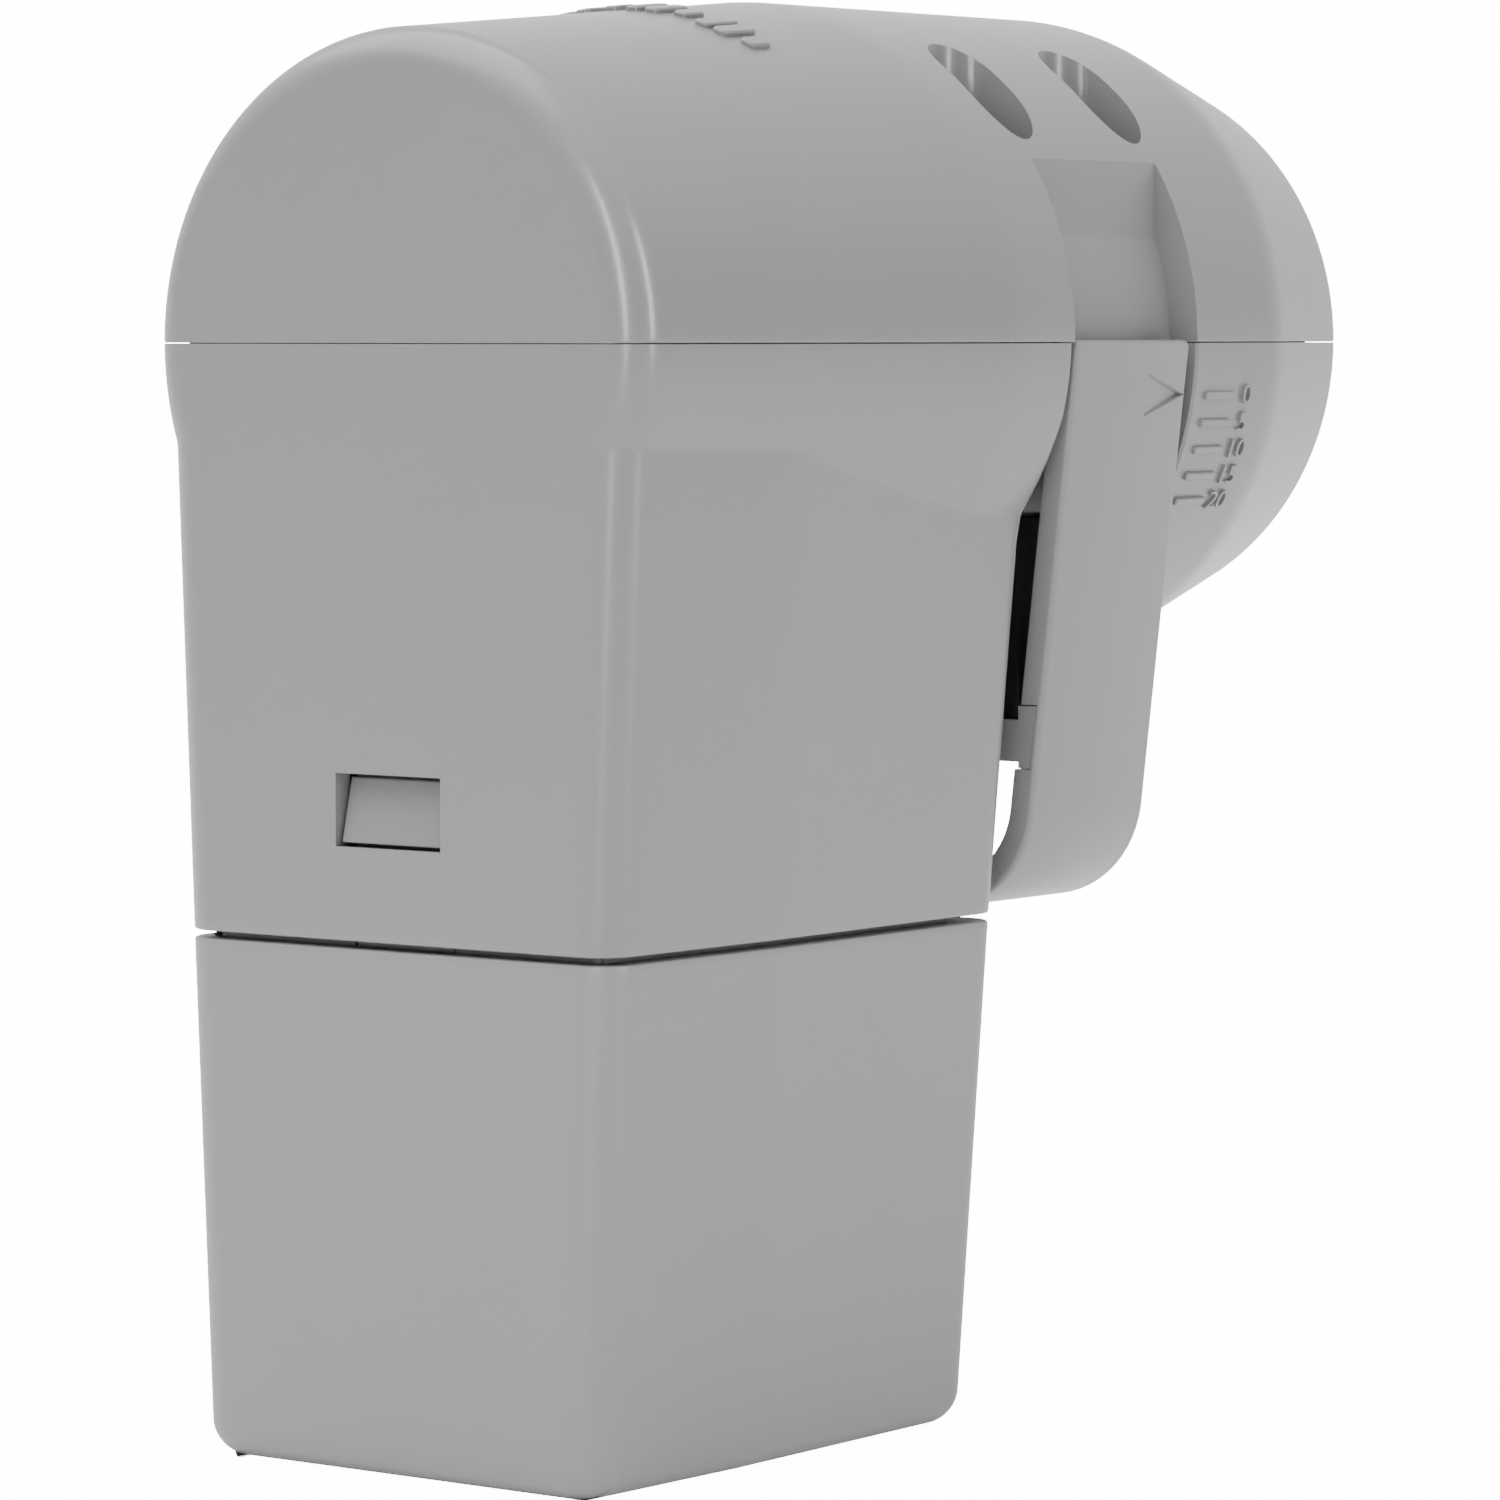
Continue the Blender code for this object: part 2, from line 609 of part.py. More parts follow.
def case_gasket_and_lid():
    width = CASE_HALF_WIDTH
    low = -CASE_TOP + GAP
    gasket = piece("case_gasket", "rubber", box(CASE_START, lid_end(), -width, width, low, low + GASKET))
    inside = box(CASE_START + CASE_WALL, lid_end() - CASE_WALL, -width + CASE_WALL, width - CASE_WALL, low - 2, low + 4)
    combine(gasket, cutter("gasket_inside", inside))
    seat = low + GASKET + GAP
    lid = piece("case_lid", "cast", box(CASE_START, lid_end(), -width, width, seat, seat + LID))
    holes = [cylinder(x, y, low - 3, seat + LID + 3, CLAMP_SCREW_RADIUS + GAP) for x, y in lid_screw_places()]
    tool = cutter("lid_screw_holes", merged(holes))
    combine(gasket, tool)
    combine(lid, tool)
    top = seat + LID + GAP
    parts = [screw(x, y, top, LID_HEAD_RADIUS, LID_HEAD_HEIGHT, CLAMP_SCREW_RADIUS, -CASE_TOP - 6)
             for x, y in lid_screw_places()]
    pieces("case_lid_screw", "steel", parts)


def board_bottom():
    return -CASE_BOTTOM + CASE_FLOOR + BOARD_LIFT


def circuit_board():
    inset = CASE_WALL + GAP
    board = piece("circuit_board", "board", box(CASE_START + inset, case_end() - UPRIGHT_THICK - inset,
                                                -CASE_HALF_WIDTH + inset, CASE_HALF_WIDTH - inset,
                                                board_bottom(), board_bottom() + BOARD_THICK))
    holes = [cylinder(x, y, board_bottom() - 2, board_bottom() + 4, PROBE_RADIUS + GAP) for x, y in port_places()]
    combine(board, cutter("contact_holes", merged(holes)))


def shield_can():
    low = board_bottom() + BOARD_THICK + GAP + 1.6
    margin = CASE_WALL + CAN_MARGIN
    x0, x1 = CASE_START + margin, case_end() - UPRIGHT_THICK - margin
    width = CASE_HALF_WIDTH - margin
    can = piece("shield_can", "nickel", box(x0, x1, -width, width, low, low + CAN_HEIGHT))
    room = box(x0 + CAN_WALL, x1 - CAN_WALL, -width + CAN_WALL, width - CAN_WALL, low - 3, low + CAN_HEIGHT - CAN_WALL)
    combine(can, cutter("can_room", room))


def probe_pins():
    """Two pins on the upright that reach into the back of the waveguide."""
    pins = []
    for y in (-PROBE_Y, PROBE_Y):
        outline = arc(y, 0, PROBE_RADIUS, 0, 360 - 360 / FINE, FINE - 1)
        pins.append(prism(outline, "X", case_end() + GAP, NECK_START + PROBE_REACH))
    pieces("probe_pin", "brass", pins)


def port_places():
    return [(x, side * PORT_Y) for x in PORT_X for side in (1, -1)]


def f_connectors():
    """Threaded output connectors under the box: spigot, hexagon, barrel and bore."""
    seat = -CASE_BOTTOM - GAP
    end = -CASE_BOTTOM - PORT_LENGTH
    top = -CASE_BOTTOM + CASE_FLOOR
    insulators = []
    contacts = []
    for number, (x, y) in enumerate(port_places(), 1):
        profile = [(PORT_BORE, top), (PORT_RADIUS, top), (PORT_RADIUS, end), (PORT_BORE, end)]
        port = piece("f_connector_%d" % number, "nickel", turned(profile, x, y))
        hexagon = prism(arc(x, y, PORT_HEX, 0, 300, 5), "Z", seat - PORT_HEX_HEIGHT, seat)
        combine(port, cutter("hexagon_%d" % number, hexagon), "UNION")
        combine(port, cutter("port_bore_%d" % number, cylinder(x, y, end - 2, top + 2, PORT_BORE)))
        finish(port)
        insulators.append(turned([(PROBE_RADIUS + GAP, top - 0.5), (PORT_BORE - GAP, top - 0.5),
                                  (PORT_BORE - GAP, end + 2), (PROBE_RADIUS + GAP, end + 2)], x, y, FINE))
        contacts.append(cylinder(x, y, end + 1.2, board_bottom() + BOARD_THICK + 1.0, PROBE_RADIUS, FINE))
    pieces("connector_insulator", "white", insulators)
    pieces("connector_contact", "brass", contacts)


def case_pads():
    """Rubber pads that wedge the converter box between the side walls."""
    parts = []
    for x in PAD_X:
        for side in (1, -1):
            low, high = sorted((side * (CASE_HALF_WIDTH + GAP), side * (pad_reach(x) - GAP)))
            parts.append(box(x, x + PAD_LENGTH, low, high, -CASE_TOP - PAD_DROP - PAD_HEIGHT, -CASE_TOP - PAD_DROP))
    pieces("case_pad", "rubber", parts)


def pad_reach(x):
    return box_half_width(x, -BODY_DEPTH) - WALL


# --- yoke ---

def leg_outer(z):
    return YOKE_HALF_WIDTH - YOKE_LEAN * -z


def u_outline(inset):
    """Half of the U's outline in (Y, Z), from the top of the +Y leg to the middle of the floor."""
    radius = YOKE_CORNER - inset
    tilt = math.degrees(math.atan(YOKE_LEAN))
    floor = -YOKE_BOTTOM + inset
    centre_z = floor + radius
    normal = inset * math.hypot(1, YOKE_LEAN)
    centre_y = leg_outer(centre_z) - normal - radius * math.hypot(1, YOKE_LEAN)
    top = (YOKE_HALF_WIDTH - normal + YOKE_LEAN * GAP, GAP)
    return [top] + arc(centre_y, centre_z, radius, -tilt, -90, 7)


def yoke():
    outer = u_outline(0.0)
    inner = u_outline(YOKE_WALL)
    half = outer + [(-y, z) for y, z in reversed(outer)]
    inside = inner + [(-y, z) for y, z in reversed(inner)]
    outline = half + list(reversed(inside))
    frame = piece("yoke", "grey", prism(outline, "X", YOKE_START, YOKE_END))
    notches = tab_blocks(leg_inner(-BAR_TAB_BOTTOM) - 2, GAP)
    combine(frame, cutter("tab_notches", merged(notches)))
    finish(frame)


def tab_blocks(inner, grow):
    """Blocks through the rear edge of both legs, a skin short of the outer face, grown on the hidden sides."""
    low, high = -BAR_TAB_BOTTOM - grow, -BAR_TAB_TOP + grow
    reach = BAR_TAB_SKIN + GAP - grow
    outline = [(inner, low), (leg_outer(low) - reach, low), (leg_outer(high) - reach, high), (inner, high)]
    start = YOKE_START - (2 if grow else 0)
    return [prism([(side * y, z) for y, z in outline], "X", start, YOKE_START + BAR_TAB_LENGTH + grow)
            for side in (1, -1)]


def leg_inner(z):
    return leg_outer(z) - YOKE_WALL * math.hypot(1, YOKE_LEAN)


def cross_bar():
    reach = leg_inner(-BAR_BOTTOM) - GAP
    inner = leg_inner(-BAR_TAB_TOP) - GAP
    start, tab_end, end = YOKE_START, YOKE_START + BAR_TAB_LENGTH, YOKE_END - 0.5
    outline = [(end, reach), (tab_end, reach), (tab_end, inner + 1), (start, inner + 1),
               (start, -inner - 1), (tab_end, -inner - 1), (tab_end, -reach), (end, -reach)]
    bar = piece("cross_bar", "grey", prism(outline, "Z", -BAR_BOTTOM, -BAR_TOP))
    combine(bar, cutter("bar_tabs", merged(tab_blocks(inner, 0.0))), "UNION")
    holes = [cylinder(x, 0, -BAR_BOTTOM - 2, -BAR_TOP + 2, BAR_SCREW_RADIUS + GAP) for x in BAR_SCREW_X]
    combine(bar, cutter("bar_screw_holes", merged(holes)))
    sinks = [cylinder(x, 0, -BAR_BOTTOM - 2, -BAR_BOTTOM + BAR_SINK, BAR_HEAD_RADIUS + GAP) for x in BAR_SCREW_X]
    combine(bar, cutter("bar_screw_sinks", merged(sinks)))
    finish(bar)


def clamp_span():
    middle = 0.5 * (BORE_X[0] + BORE_X[1])
    return middle - CLAMP_WIDTH / 2, middle + CLAMP_WIDTH / 2


def ring_radius():
    return NECK_RADIUS + CLAMP_CLEARANCE


def neck_clamp():
    start, end = clamp_span()
    inner, outer = ring_radius(), ring_radius() + CLAMP_THICK
    dip = math.degrees(math.asin(SEAM / inner))
    ear = math.degrees(math.asin(CLAMP_EAR_HEIGHT / outer))
    root = -90 + math.degrees(math.asin(CLAMP_STEM / outer))
    saddle = GROOVE_RADIUS + SADDLE_CLEARANCE
    floor = -BAR_TOP + GAP
    half = arc(0, 0, inner, -90, -dip, STEPS // 2)[1:]
    half += [(CLAMP_EAR, -SEAM), (CLAMP_EAR, -CLAMP_EAR_HEIGHT)]
    half += arc(0, 0, outer, -ear, root, 7)
    half += [(CLAMP_STEM, -saddle - 2)]
    outline = half + [(-y, z) for y, z in reversed(half)] + [(0, -inner)]
    clamp = piece("neck_clamp", "black", prism(outline, "X", start, end))
    reach = leg_inner(floor) - 2 * GAP
    top = -math.sqrt(saddle ** 2 - (reach - 1.0) ** 2)
    side = math.degrees(math.atan2(top, reach - 1.0))
    saddle_outline = arc(0, 0, saddle, side, -180 - side, 14) + [(-reach, floor), (reach, floor)]
    body = prism(saddle_outline, "X", YOKE_START + SADDLE_INSET, YOKE_END - SADDLE_INSET)
    combine(clamp, cutter("saddle", body), "UNION")
    screws = [cylinder(x, 0, floor - 2, floor + 5.5, BAR_SCREW_RADIUS + GAP) for x in BAR_SCREW_X]
    combine(clamp, cutter("saddle_screw_holes", merged(screws)))
    combine(clamp, cutter("ear_holes_low", ear_holes(-CLAMP_EAR_HEIGHT - 2, 2)))
    finish(clamp)


def ear_holes(low, high):
    middle = sum(clamp_span()) / 2
    return merged([cylinder(middle, side * CLAMP_SCREW_Y, low, high, CLAMP_SCREW_RADIUS + GAP) for side in (1, -1)])


def neck_ring_cap():
    start, end = clamp_span()
    inner, outer = ring_radius(), ring_radius() + CLAMP_THICK
    rise = math.degrees(math.asin(SEAM / inner))
    ear = math.degrees(math.asin(CLAMP_EAR_HEIGHT / outer))
    outline = arc(0, 0, inner, 180 - rise, rise, STEPS)
    outline += [(CLAMP_EAR, SEAM), (CLAMP_EAR, CLAMP_EAR_HEIGHT)]
    outline += arc(0, 0, outer, ear, 180 - ear, STEPS)
    outline += [(-CLAMP_EAR, CLAMP_EAR_HEIGHT), (-CLAMP_EAR, SEAM)]
    ring = piece("neck_ring_cap", "black", prism(outline, "X", start, end))
    combine(ring, cutter("ear_holes_high", ear_holes(-2, CLAMP_EAR_HEIGHT + 2)))
    finish(ring)


def yoke_screws():
    middle = sum(clamp_span()) / 2
    seat = CLAMP_EAR_HEIGHT + 0.1
    parts = [screw(middle, side * CLAMP_SCREW_Y, seat, 2.0, 1.2, CLAMP_SCREW_RADIUS, -CLAMP_EAR_HEIGHT - 1.0)
             for side in (1, -1)]
    pieces("neck_ring_screw", "steel", parts)
    heads = []
    for x in BAR_SCREW_X:
        top = -BAR_BOTTOM + BAR_SINK - GAP
        low, shoulder = top - BAR_HEAD_HEIGHT, top - BAR_HEAD_HEIGHT / 2
        recess = BAR_HEAD_RADIUS / 3
        profile = [(0, shoulder), (recess, shoulder), (recess, low), (BAR_HEAD_RADIUS * 0.72, low),
                   (BAR_HEAD_RADIUS, shoulder), (BAR_HEAD_RADIUS, top), (BAR_SCREW_RADIUS, top),
                   (BAR_SCREW_RADIUS, -BAR_TOP + BAR_SCREW_TIP), (0, -BAR_TOP + BAR_SCREW_TIP)]
        heads.append(turned(profile, x, 0))
    pieces("bar_screw", "steel", heads)


# --- weather cover ---

def weather_cover():
    top = -BODY_DEPTH - COVER_GAP
    loops = []
    for inset, rise in arc(COVER_FILLET, COVER_FILLET, COVER_FILLET, 270, 180, 3):
        level = -COVER_DEPTH + rise
        loops.append(at_height(plan_outline(level, inset), level))
    loops.append(at_height(plan_outline(top), top))
    collar = plan_outline(-BODY_DEPTH, collar_inset())
    front = box_front(-BODY_DEPTH) - WALL - FRONT_FILLET - COLLAR_CLEARANCE
    collar = [(min(x, front), y) for x, y in collar]
    rise = -BODY_DEPTH + COLLAR_HEIGHT
    loops += [at_height(collar, top), at_height(collar, rise)]
    cover = piece("weather_cover", "grey", loft(loops))
    inner = plan_outline(-BODY_DEPTH, collar_inset() + COLLAR_WALL)
    inner = [(min(x, front - COLLAR_WALL), y) for x, y in inner]
    combine(cover, cutter("cover_room", loft([at_height(inner, -COVER_DEPTH + COVER_FLOOR), at_height(inner, rise + 4)])))
    outlet = box(OUTLET_START, OUTLET_START + OUTLET_LENGTH, -OUTLET_WIDTH / 2, OUTLET_WIDTH / 2,
                 -COVER_DEPTH - 3, -COVER_DEPTH + COVER_FLOOR + 3)
    combine(cover, cutter("cable_outlet", outlet))
    half = TONGUE_HALF_WIDTH + GAP
    slot = box(-2, tongue_face() + TONGUE_THICK + 1.0, -half, half, -TONGUE_ROOT + GAP, rise + 4)
    keep = box(-3, collar_inset() - 0.2, -half - 3, half + 3, -TONGUE_ROOT - 3, top)
    tool = cutter("tongue_slot", slot)
    combine(tool, cutter("tongue_slot_front", keep))
    combine(cover, tool)
    finish(cover)


def tongue_face():
    """X of the tongue's rear side, clear of the wall it slides behind."""
    return WALL + COLLAR_CLEARANCE


def latch_tongue():
    face = tongue_face()
    back = face + TONGUE_THICK
    low, high = -TONGUE_ROOT + 2 * GAP, -WINDOW_TOP - 0.6
    barb_low = -WINDOW_BOTTOM + 0.5
    outline = [(face, low), (back, low), (back, high + 1.5), (face, high + 1.5), (face, high),
               (BARB_TOP_DEPTH, high), (BARB_BOTTOM_DEPTH, barb_low), (face, barb_low)]
    pivot = (0.5 * (face + back), 0.0, low)
    tongue = piece("latch_tongue", "grey", prism(outline, "Y", -TONGUE_HALF_WIDTH, TONGUE_HALF_WIDTH), pivot)
    finish(tongue)


def main():
    clear_scene()
    empty("drum_datum", DATUM)
    upper_shell()
    lower_shell()
    housing_screws()
    radome_cap()
    cap_seal()
    feed_horn()
    lnb_case()
    case_gasket_and_lid()
    circuit_board()
    shield_can()
    probe_pins()
    f_connectors()
    case_pads()
    yoke()
    cross_bar()
    neck_clamp()
    neck_ring_cap()
    yoke_screws()
    weather_cover()
    latch_tongue()


main()
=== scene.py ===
import math

import bmesh
import bpy
import numpy as np
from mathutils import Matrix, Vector


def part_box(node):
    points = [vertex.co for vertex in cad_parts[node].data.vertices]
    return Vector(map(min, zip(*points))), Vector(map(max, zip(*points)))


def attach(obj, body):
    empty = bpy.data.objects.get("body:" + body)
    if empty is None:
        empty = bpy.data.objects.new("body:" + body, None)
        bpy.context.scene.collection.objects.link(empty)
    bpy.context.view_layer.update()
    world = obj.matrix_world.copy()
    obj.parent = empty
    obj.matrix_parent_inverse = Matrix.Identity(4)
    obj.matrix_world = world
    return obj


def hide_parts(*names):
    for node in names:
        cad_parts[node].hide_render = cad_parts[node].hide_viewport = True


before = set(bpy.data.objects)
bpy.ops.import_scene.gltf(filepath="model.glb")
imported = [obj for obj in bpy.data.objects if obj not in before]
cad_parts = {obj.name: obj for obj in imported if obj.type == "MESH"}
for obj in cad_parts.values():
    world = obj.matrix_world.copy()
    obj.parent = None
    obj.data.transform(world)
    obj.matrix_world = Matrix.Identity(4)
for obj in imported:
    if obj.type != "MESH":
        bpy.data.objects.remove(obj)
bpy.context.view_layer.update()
mm = 0.001

# The drum frame: millimetres, x from the flat rear face towards the nose, z from the seam,
# which holds the drum axis. seamGap is from the seam to each shell of the frame, and seamLine
# from the seam to each visible shell.
seamGap = 0.15
seamLine = 0.05
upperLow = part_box("upper_shell")[0]
datum = np.array([upperLow[0], 0.0, upperLow[2] - seamGap * mm])


def boxMm(node):
    low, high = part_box(node)
    return (np.array(low) - datum) / mm, (np.array(high) - datum) / mm


def toWorld(points):
    return np.asarray(points, float) * mm + datum


# Mesh helpers
def meshObject(name, points, faces):
    mesh = bpy.data.meshes.new(name)
    mesh.from_pydata(toWorld(points).tolist(), [], faces)
    obj = bpy.data.objects.new(name, mesh)
    bpy.context.scene.collection.objects.link(obj)
    return obj


def tidyMesh(obj, merge=0.002):
    bm = bmesh.new()
    bm.from_mesh(obj.data)
    bmesh.ops.remove_doubles(bm, verts=bm.verts, dist=merge * mm)
    bmesh.ops.dissolve_degenerate(bm, edges=bm.edges, dist=merge * mm * 0.5)
    bmesh.ops.recalc_face_normals(bm, faces=bm.faces)
    bm.to_mesh(obj.data)
    bm.free()
    return obj


def gridFaces(rows, columns, closedRows=False):
    # quads between neighbouring rows of a grid whose columns close into a loop
    i = np.arange(rows if closedRows else rows - 1)[:, None]
    j = np.arange(columns)[None, :]
    down, right = (i + 1) % rows, (j + 1) % columns
    quads = np.stack([i * columns + j, i * columns + right, down * columns + right, down * columns + j], -1)
    return quads.reshape(-1, 4).tolist()


def skinLoops(name, loops):
    # a closed body: equal-length loops joined in order, with a flat cap on the first and the last
    grid = np.asarray(loops, float)
    rows, columns = grid.shape[:2]
    faces = gridFaces(rows, columns)
    faces.append(list(range(columns))[::-1])
    faces.append(list(range((rows - 1) * columns, rows * columns)))
    return tidyMesh(meshObject(name, grid.reshape(-1, 3), faces))


def skinRing(name, loops):
    # a closed ring: equal-length loops joined in order and the last to the first
    grid = np.asarray(loops, float)
    rows, columns = grid.shape[:2]
    return tidyMesh(meshObject(name, grid.reshape(-1, 3), gridFaces(rows, columns, True)))


def arcPoints(cx, cy, radius, start, end, count):
    # points (cx + r cos t, cy + r sin t) for t from start to end degrees
    t = np.radians(np.linspace(start, end, count + 1))
    return np.stack([cx + radius * np.cos(t), cy + radius * np.sin(t)], 1)


def straight(a, b, count):
    s = np.linspace(0, 1, count + 1)[:, None]
    return np.array(a) * (1 - s) + np.array(b) * s


def extrude(name, outline, axis, low, high, bevel=0.0):
    # the flat outline moved along an axis, with both ends drawn in by the bevel
    outline = np.asarray(outline, float)
    if bevel:
        steps = [(low, bevel), (low + 0.3 * bevel, 0.3 * bevel), (low + bevel, 0.0),
                 (high - bevel, 0.0), (high - 0.3 * bevel, 0.3 * bevel), (high, bevel)]
    else:
        steps = [(low, 0.0), (high, 0.0)]
    order = {"x": (2, 0, 1), "y": (0, 2, 1), "z": (0, 1, 2)}[axis]
    loops = []
    for level, inset in steps:
        flat = insetOutline(outline, inset) if inset else outline
        loops.append(np.column_stack([flat, np.full(len(flat), level)])[:, order])
    return skinLoops(name, loops)


def insetOutline(outline, inset):
    # every point moved along the mean of its two edge normals, so that each edge steps in by the inset
    before, after = np.roll(outline, 1, 0), np.roll(outline, -1, 0)

    def normal(a, b):
        d = b - a
        return np.stack([-d[:, 1], d[:, 0]], 1) / np.maximum(np.linalg.norm(d, axis=1), 1e-9)[:, None]
    n = normal(before, outline) + normal(outline, after)
    n /= np.maximum((n * n).sum(1), 0.4)[:, None] / 2
    area = 0.5 * np.sum(outline[:, 0] * after[:, 1] - after[:, 0] * outline[:, 1])
    return outline + n * inset * np.sign(area)


def roundCorners(points, radii, steps=5):
    # a polygon with each corner replaced by an arc of its radius, touching both of its edges
    points = np.asarray(points, float)
    result = []
    for p, a, b, radius in zip(points, np.roll(points, 1, 0), np.roll(points, -1, 0), radii):
        if radius <= 0:
            result.append(p[None])
            continue
        u, v = (a - p) / np.linalg.norm(a - p), (b - p) / np.linalg.norm(b - p)
        half = 0.5 * math.acos(np.clip(u @ v, -1, 1))
        centre = p + (u + v) / np.linalg.norm(u + v) * radius / math.sin(half)
        startDir, endDir = p + u * radius / math.tan(half) - centre, p + v * radius / math.tan(half) - centre
        t = np.linspace(0, 1, steps + 1)[:, None]
        swing = math.acos(np.clip(startDir @ endDir / radius ** 2, -1, 1))
        swept = startDir * np.sin((1 - t) * swing) + endDir * np.sin(t * swing)
        result.append(centre + swept / math.sin(swing))
    return np.concatenate(result)


def turnX(name, profile, count=144):
    # a closed (x, radius) profile turned about the drum axis
    return turned(name, profile, count, lambda a, r, c, s: np.stack([a, r * c, r * s], -1))


def turnZ(name, profile, x, y, count=48):
    # a closed (z, radius) profile turned about an upright axis at (x, y)
    return turned(name, profile, count, lambda a, r, c, s: np.stack([x + r * c, y + r * s, a], -1))


def turned(name, profile, count, shape):
    profile = np.asarray(profile, float)
    t = (np.arange(count) * 2 * np.pi / count)[:, None]
    along = profile[None, :, 0] + 0 * t
    radius = profile[None, :, 1] + 0 * t
    grid = shape(along, radius, np.cos(t), np.sin(t))
    obj = meshObject(name, grid.reshape(-1, 3), gridFaces(count, len(profile), True))
    return tidyMesh(obj)


def block(name, x0, x1, y0, y1, z0, z1):
    return extrude(name, [(x0, y0), (x1, y0), (x1, y1), (x0, y1)], "z", z0, z1)


def carve(piece, tools, operation="DIFFERENCE"):
    # cuts (or adds) the tools, keeps the result as the piece's mesh and removes the tools
    for tool in tools:
        mod = piece.modifiers.new(tool.name, "BOOLEAN")
        mod.solver = "EXACT"
        mod.operation = operation
        mod.object = tool
    graph = bpy.context.evaluated_depsgraph_get()
    mesh = bpy.data.meshes.new_from_object(piece.evaluated_get(graph), preserve_all_data_layers=False)
    piece.modifiers.clear()
    old = piece.data
    piece.data = mesh
    bpy.data.meshes.remove(old)
    for tool in tools:
        bpy.data.objects.remove(tool, do_unlink=True)
    return piece


def joined(name, objects):
    # several bodies in one mesh
    bm = bmesh.new()
    for obj in objects:
        bm.from_mesh(obj.data)
        bpy.data.objects.remove(obj, do_unlink=True)
    mesh = bpy.data.meshes.new(name)
    bm.to_mesh(mesh)
    bm.free()
    obj = bpy.data.objects.new(name, mesh)
    bpy.context.scene.collection.objects.link(obj)
    return obj


def softEdges(piece, width, segments=2, angle=40):
    mod = piece.modifiers.new("edge", "BEVEL")
    mod.width = width * mm
    mod.segments = segments
    mod.limit_method = "ANGLE"
    mod.angle_limit = math.radians(angle)
    mod.harden_normals = False
    return piece


def settle(piece, body, mat, nodes=(), smooth=32):
    piece.data.shade_smooth()
    piece.data.set_sharp_from_angle(angle=math.radians(smooth))
    piece.data.materials.clear()
    piece.data.materials.append(mat)
    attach(piece, body)
    if nodes:
        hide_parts(*nodes)
    return piece


# Materials
def newMaterial(name):
    mat = bpy.data.materials.new(name)
    mat.use_nodes = True
    return mat, mat.node_tree.nodes, mat.node_tree.links


def mouldGrainGroup():
    # fine sparked texture of a mould plus slow mottling: height for a bump, tint and roughness
    group = bpy.data.node_groups.new("mouldGrain", "ShaderNodeTree")
    for label, kind, default in (("Vector", "NodeSocketVector", None),
                                 ("Grain Size", "NodeSocketFloat", 3200.0),
                                 ("Mottle Size", "NodeSocketFloat", 45.0),
                                 ("Colour", "NodeSocketColor", None),
                                 ("Mottle", "NodeSocketFloat", 0.06), ("Roughness", "NodeSocketFloat", 0.42)):
        socket = group.interface.new_socket(label, in_out="INPUT", socket_type=kind)
        if default is not None:
            socket.default_value = default
    for label, kind in (("Colour", "NodeSocketColor"), ("Roughness", "NodeSocketFloat"),
                        ("Height", "NodeSocketFloat")):
        group.interface.new_socket(label, in_out="OUTPUT", socket_type=kind)
    nodes, links = group.nodes, group.links
    start, end = nodes.new("NodeGroupInput"), nodes.new("NodeGroupOutput")
    grain = nodes.new("ShaderNodeTexNoise")
    grain.inputs["Detail"].default_value = 2.0
    mottle = nodes.new("ShaderNodeTexNoise")
    mottle.inputs["Detail"].default_value = 5.0
    mottle.inputs["Roughness"].default_value = 0.6
    for noise, size in ((grain, "Grain Size"), (mottle, "Mottle Size")):
        links.new(start.outputs["Vector"], noise.inputs["Vector"])
        links.new(start.outputs[size], noise.inputs["Scale"])
    centred = nodes.new("ShaderNodeMath")
    centred.operation = "SUBTRACT"
    centred.inputs[1].default_value = 0.5
    links.new(mottle.outputs["Fac"], centred.inputs[0])
    amount = nodes.new("ShaderNodeMath")
    amount.operation = "MULTIPLY_ADD"
    amount.inputs[2].default_value = 1.0
    links.new(centred.outputs[0], amount.inputs[0])
    links.new(start.outputs["Mottle"], amount.inputs[1])
    tint = nodes.new("ShaderNodeVectorMath")
    tint.operation = "SCALE"
    links.new(start.outputs["Colour"], tint.inputs[0])
    links.new(amount.outputs[0], tint.inputs["Scale"])
    links.new(tint.outputs[0], end.inputs["Colour"])
    rough = nodes.new("ShaderNodeMath")
    rough.operation = "MULTIPLY"
    links.new(start.outputs["Roughness"], rough.inputs[0])
    links.new(amount.outputs[0], rough.inputs[1])
    links.new(rough.outputs[0], end.inputs["Roughness"])
    links.new(grain.outputs["Fac"], end.inputs["Height"])
    return group


mouldGrain = mouldGrainGroup()


def grainedMaterial(name, colour, roughness, grainSize=3200.0, bump=0.10, mottle=0.06, metallic=0.0,
                    specular=0.5, stretch=(1, 1, 1)):
    mat, nodes, links = newMaterial(name)
    shader = nodes["Principled BSDF"]
    shader.inputs["Metallic"].default_value = metallic
    shader.inputs["Specular IOR Level"].default_value = specular
    place = nodes.new("ShaderNodeTexCoord")
    turn = nodes.new("ShaderNodeMapping")
    turn.inputs["Scale"].default_value = stretch
    links.new(place.outputs["Object"], turn.inputs["Vector"])
    grain = nodes.new("ShaderNodeGroup")
    grain.node_tree = mouldGrain
    grain.inputs["Grain Size"].default_value = grainSize
    grain.inputs["Colour"].default_value = (*colour, 1.0)
    grain.inputs["Mottle"].default_value = mottle
    grain.inputs["Roughness"].default_value = roughness
    links.new(turn.outputs[0], grain.inputs["Vector"])
    links.new(grain.outputs["Colour"], shader.inputs["Base Color"])
    links.new(grain.outputs["Roughness"], shader.inputs["Roughness"])
    relief = nodes.new("ShaderNodeBump")
    relief.inputs["Strength"].default_value = bump
    relief.inputs["Distance"].default_value = 0.0001
    links.new(grain.outputs["Height"], relief.inputs["Height"])
    links.new(relief.outputs["Normal"], shader.inputs["Normal"])
    return mat


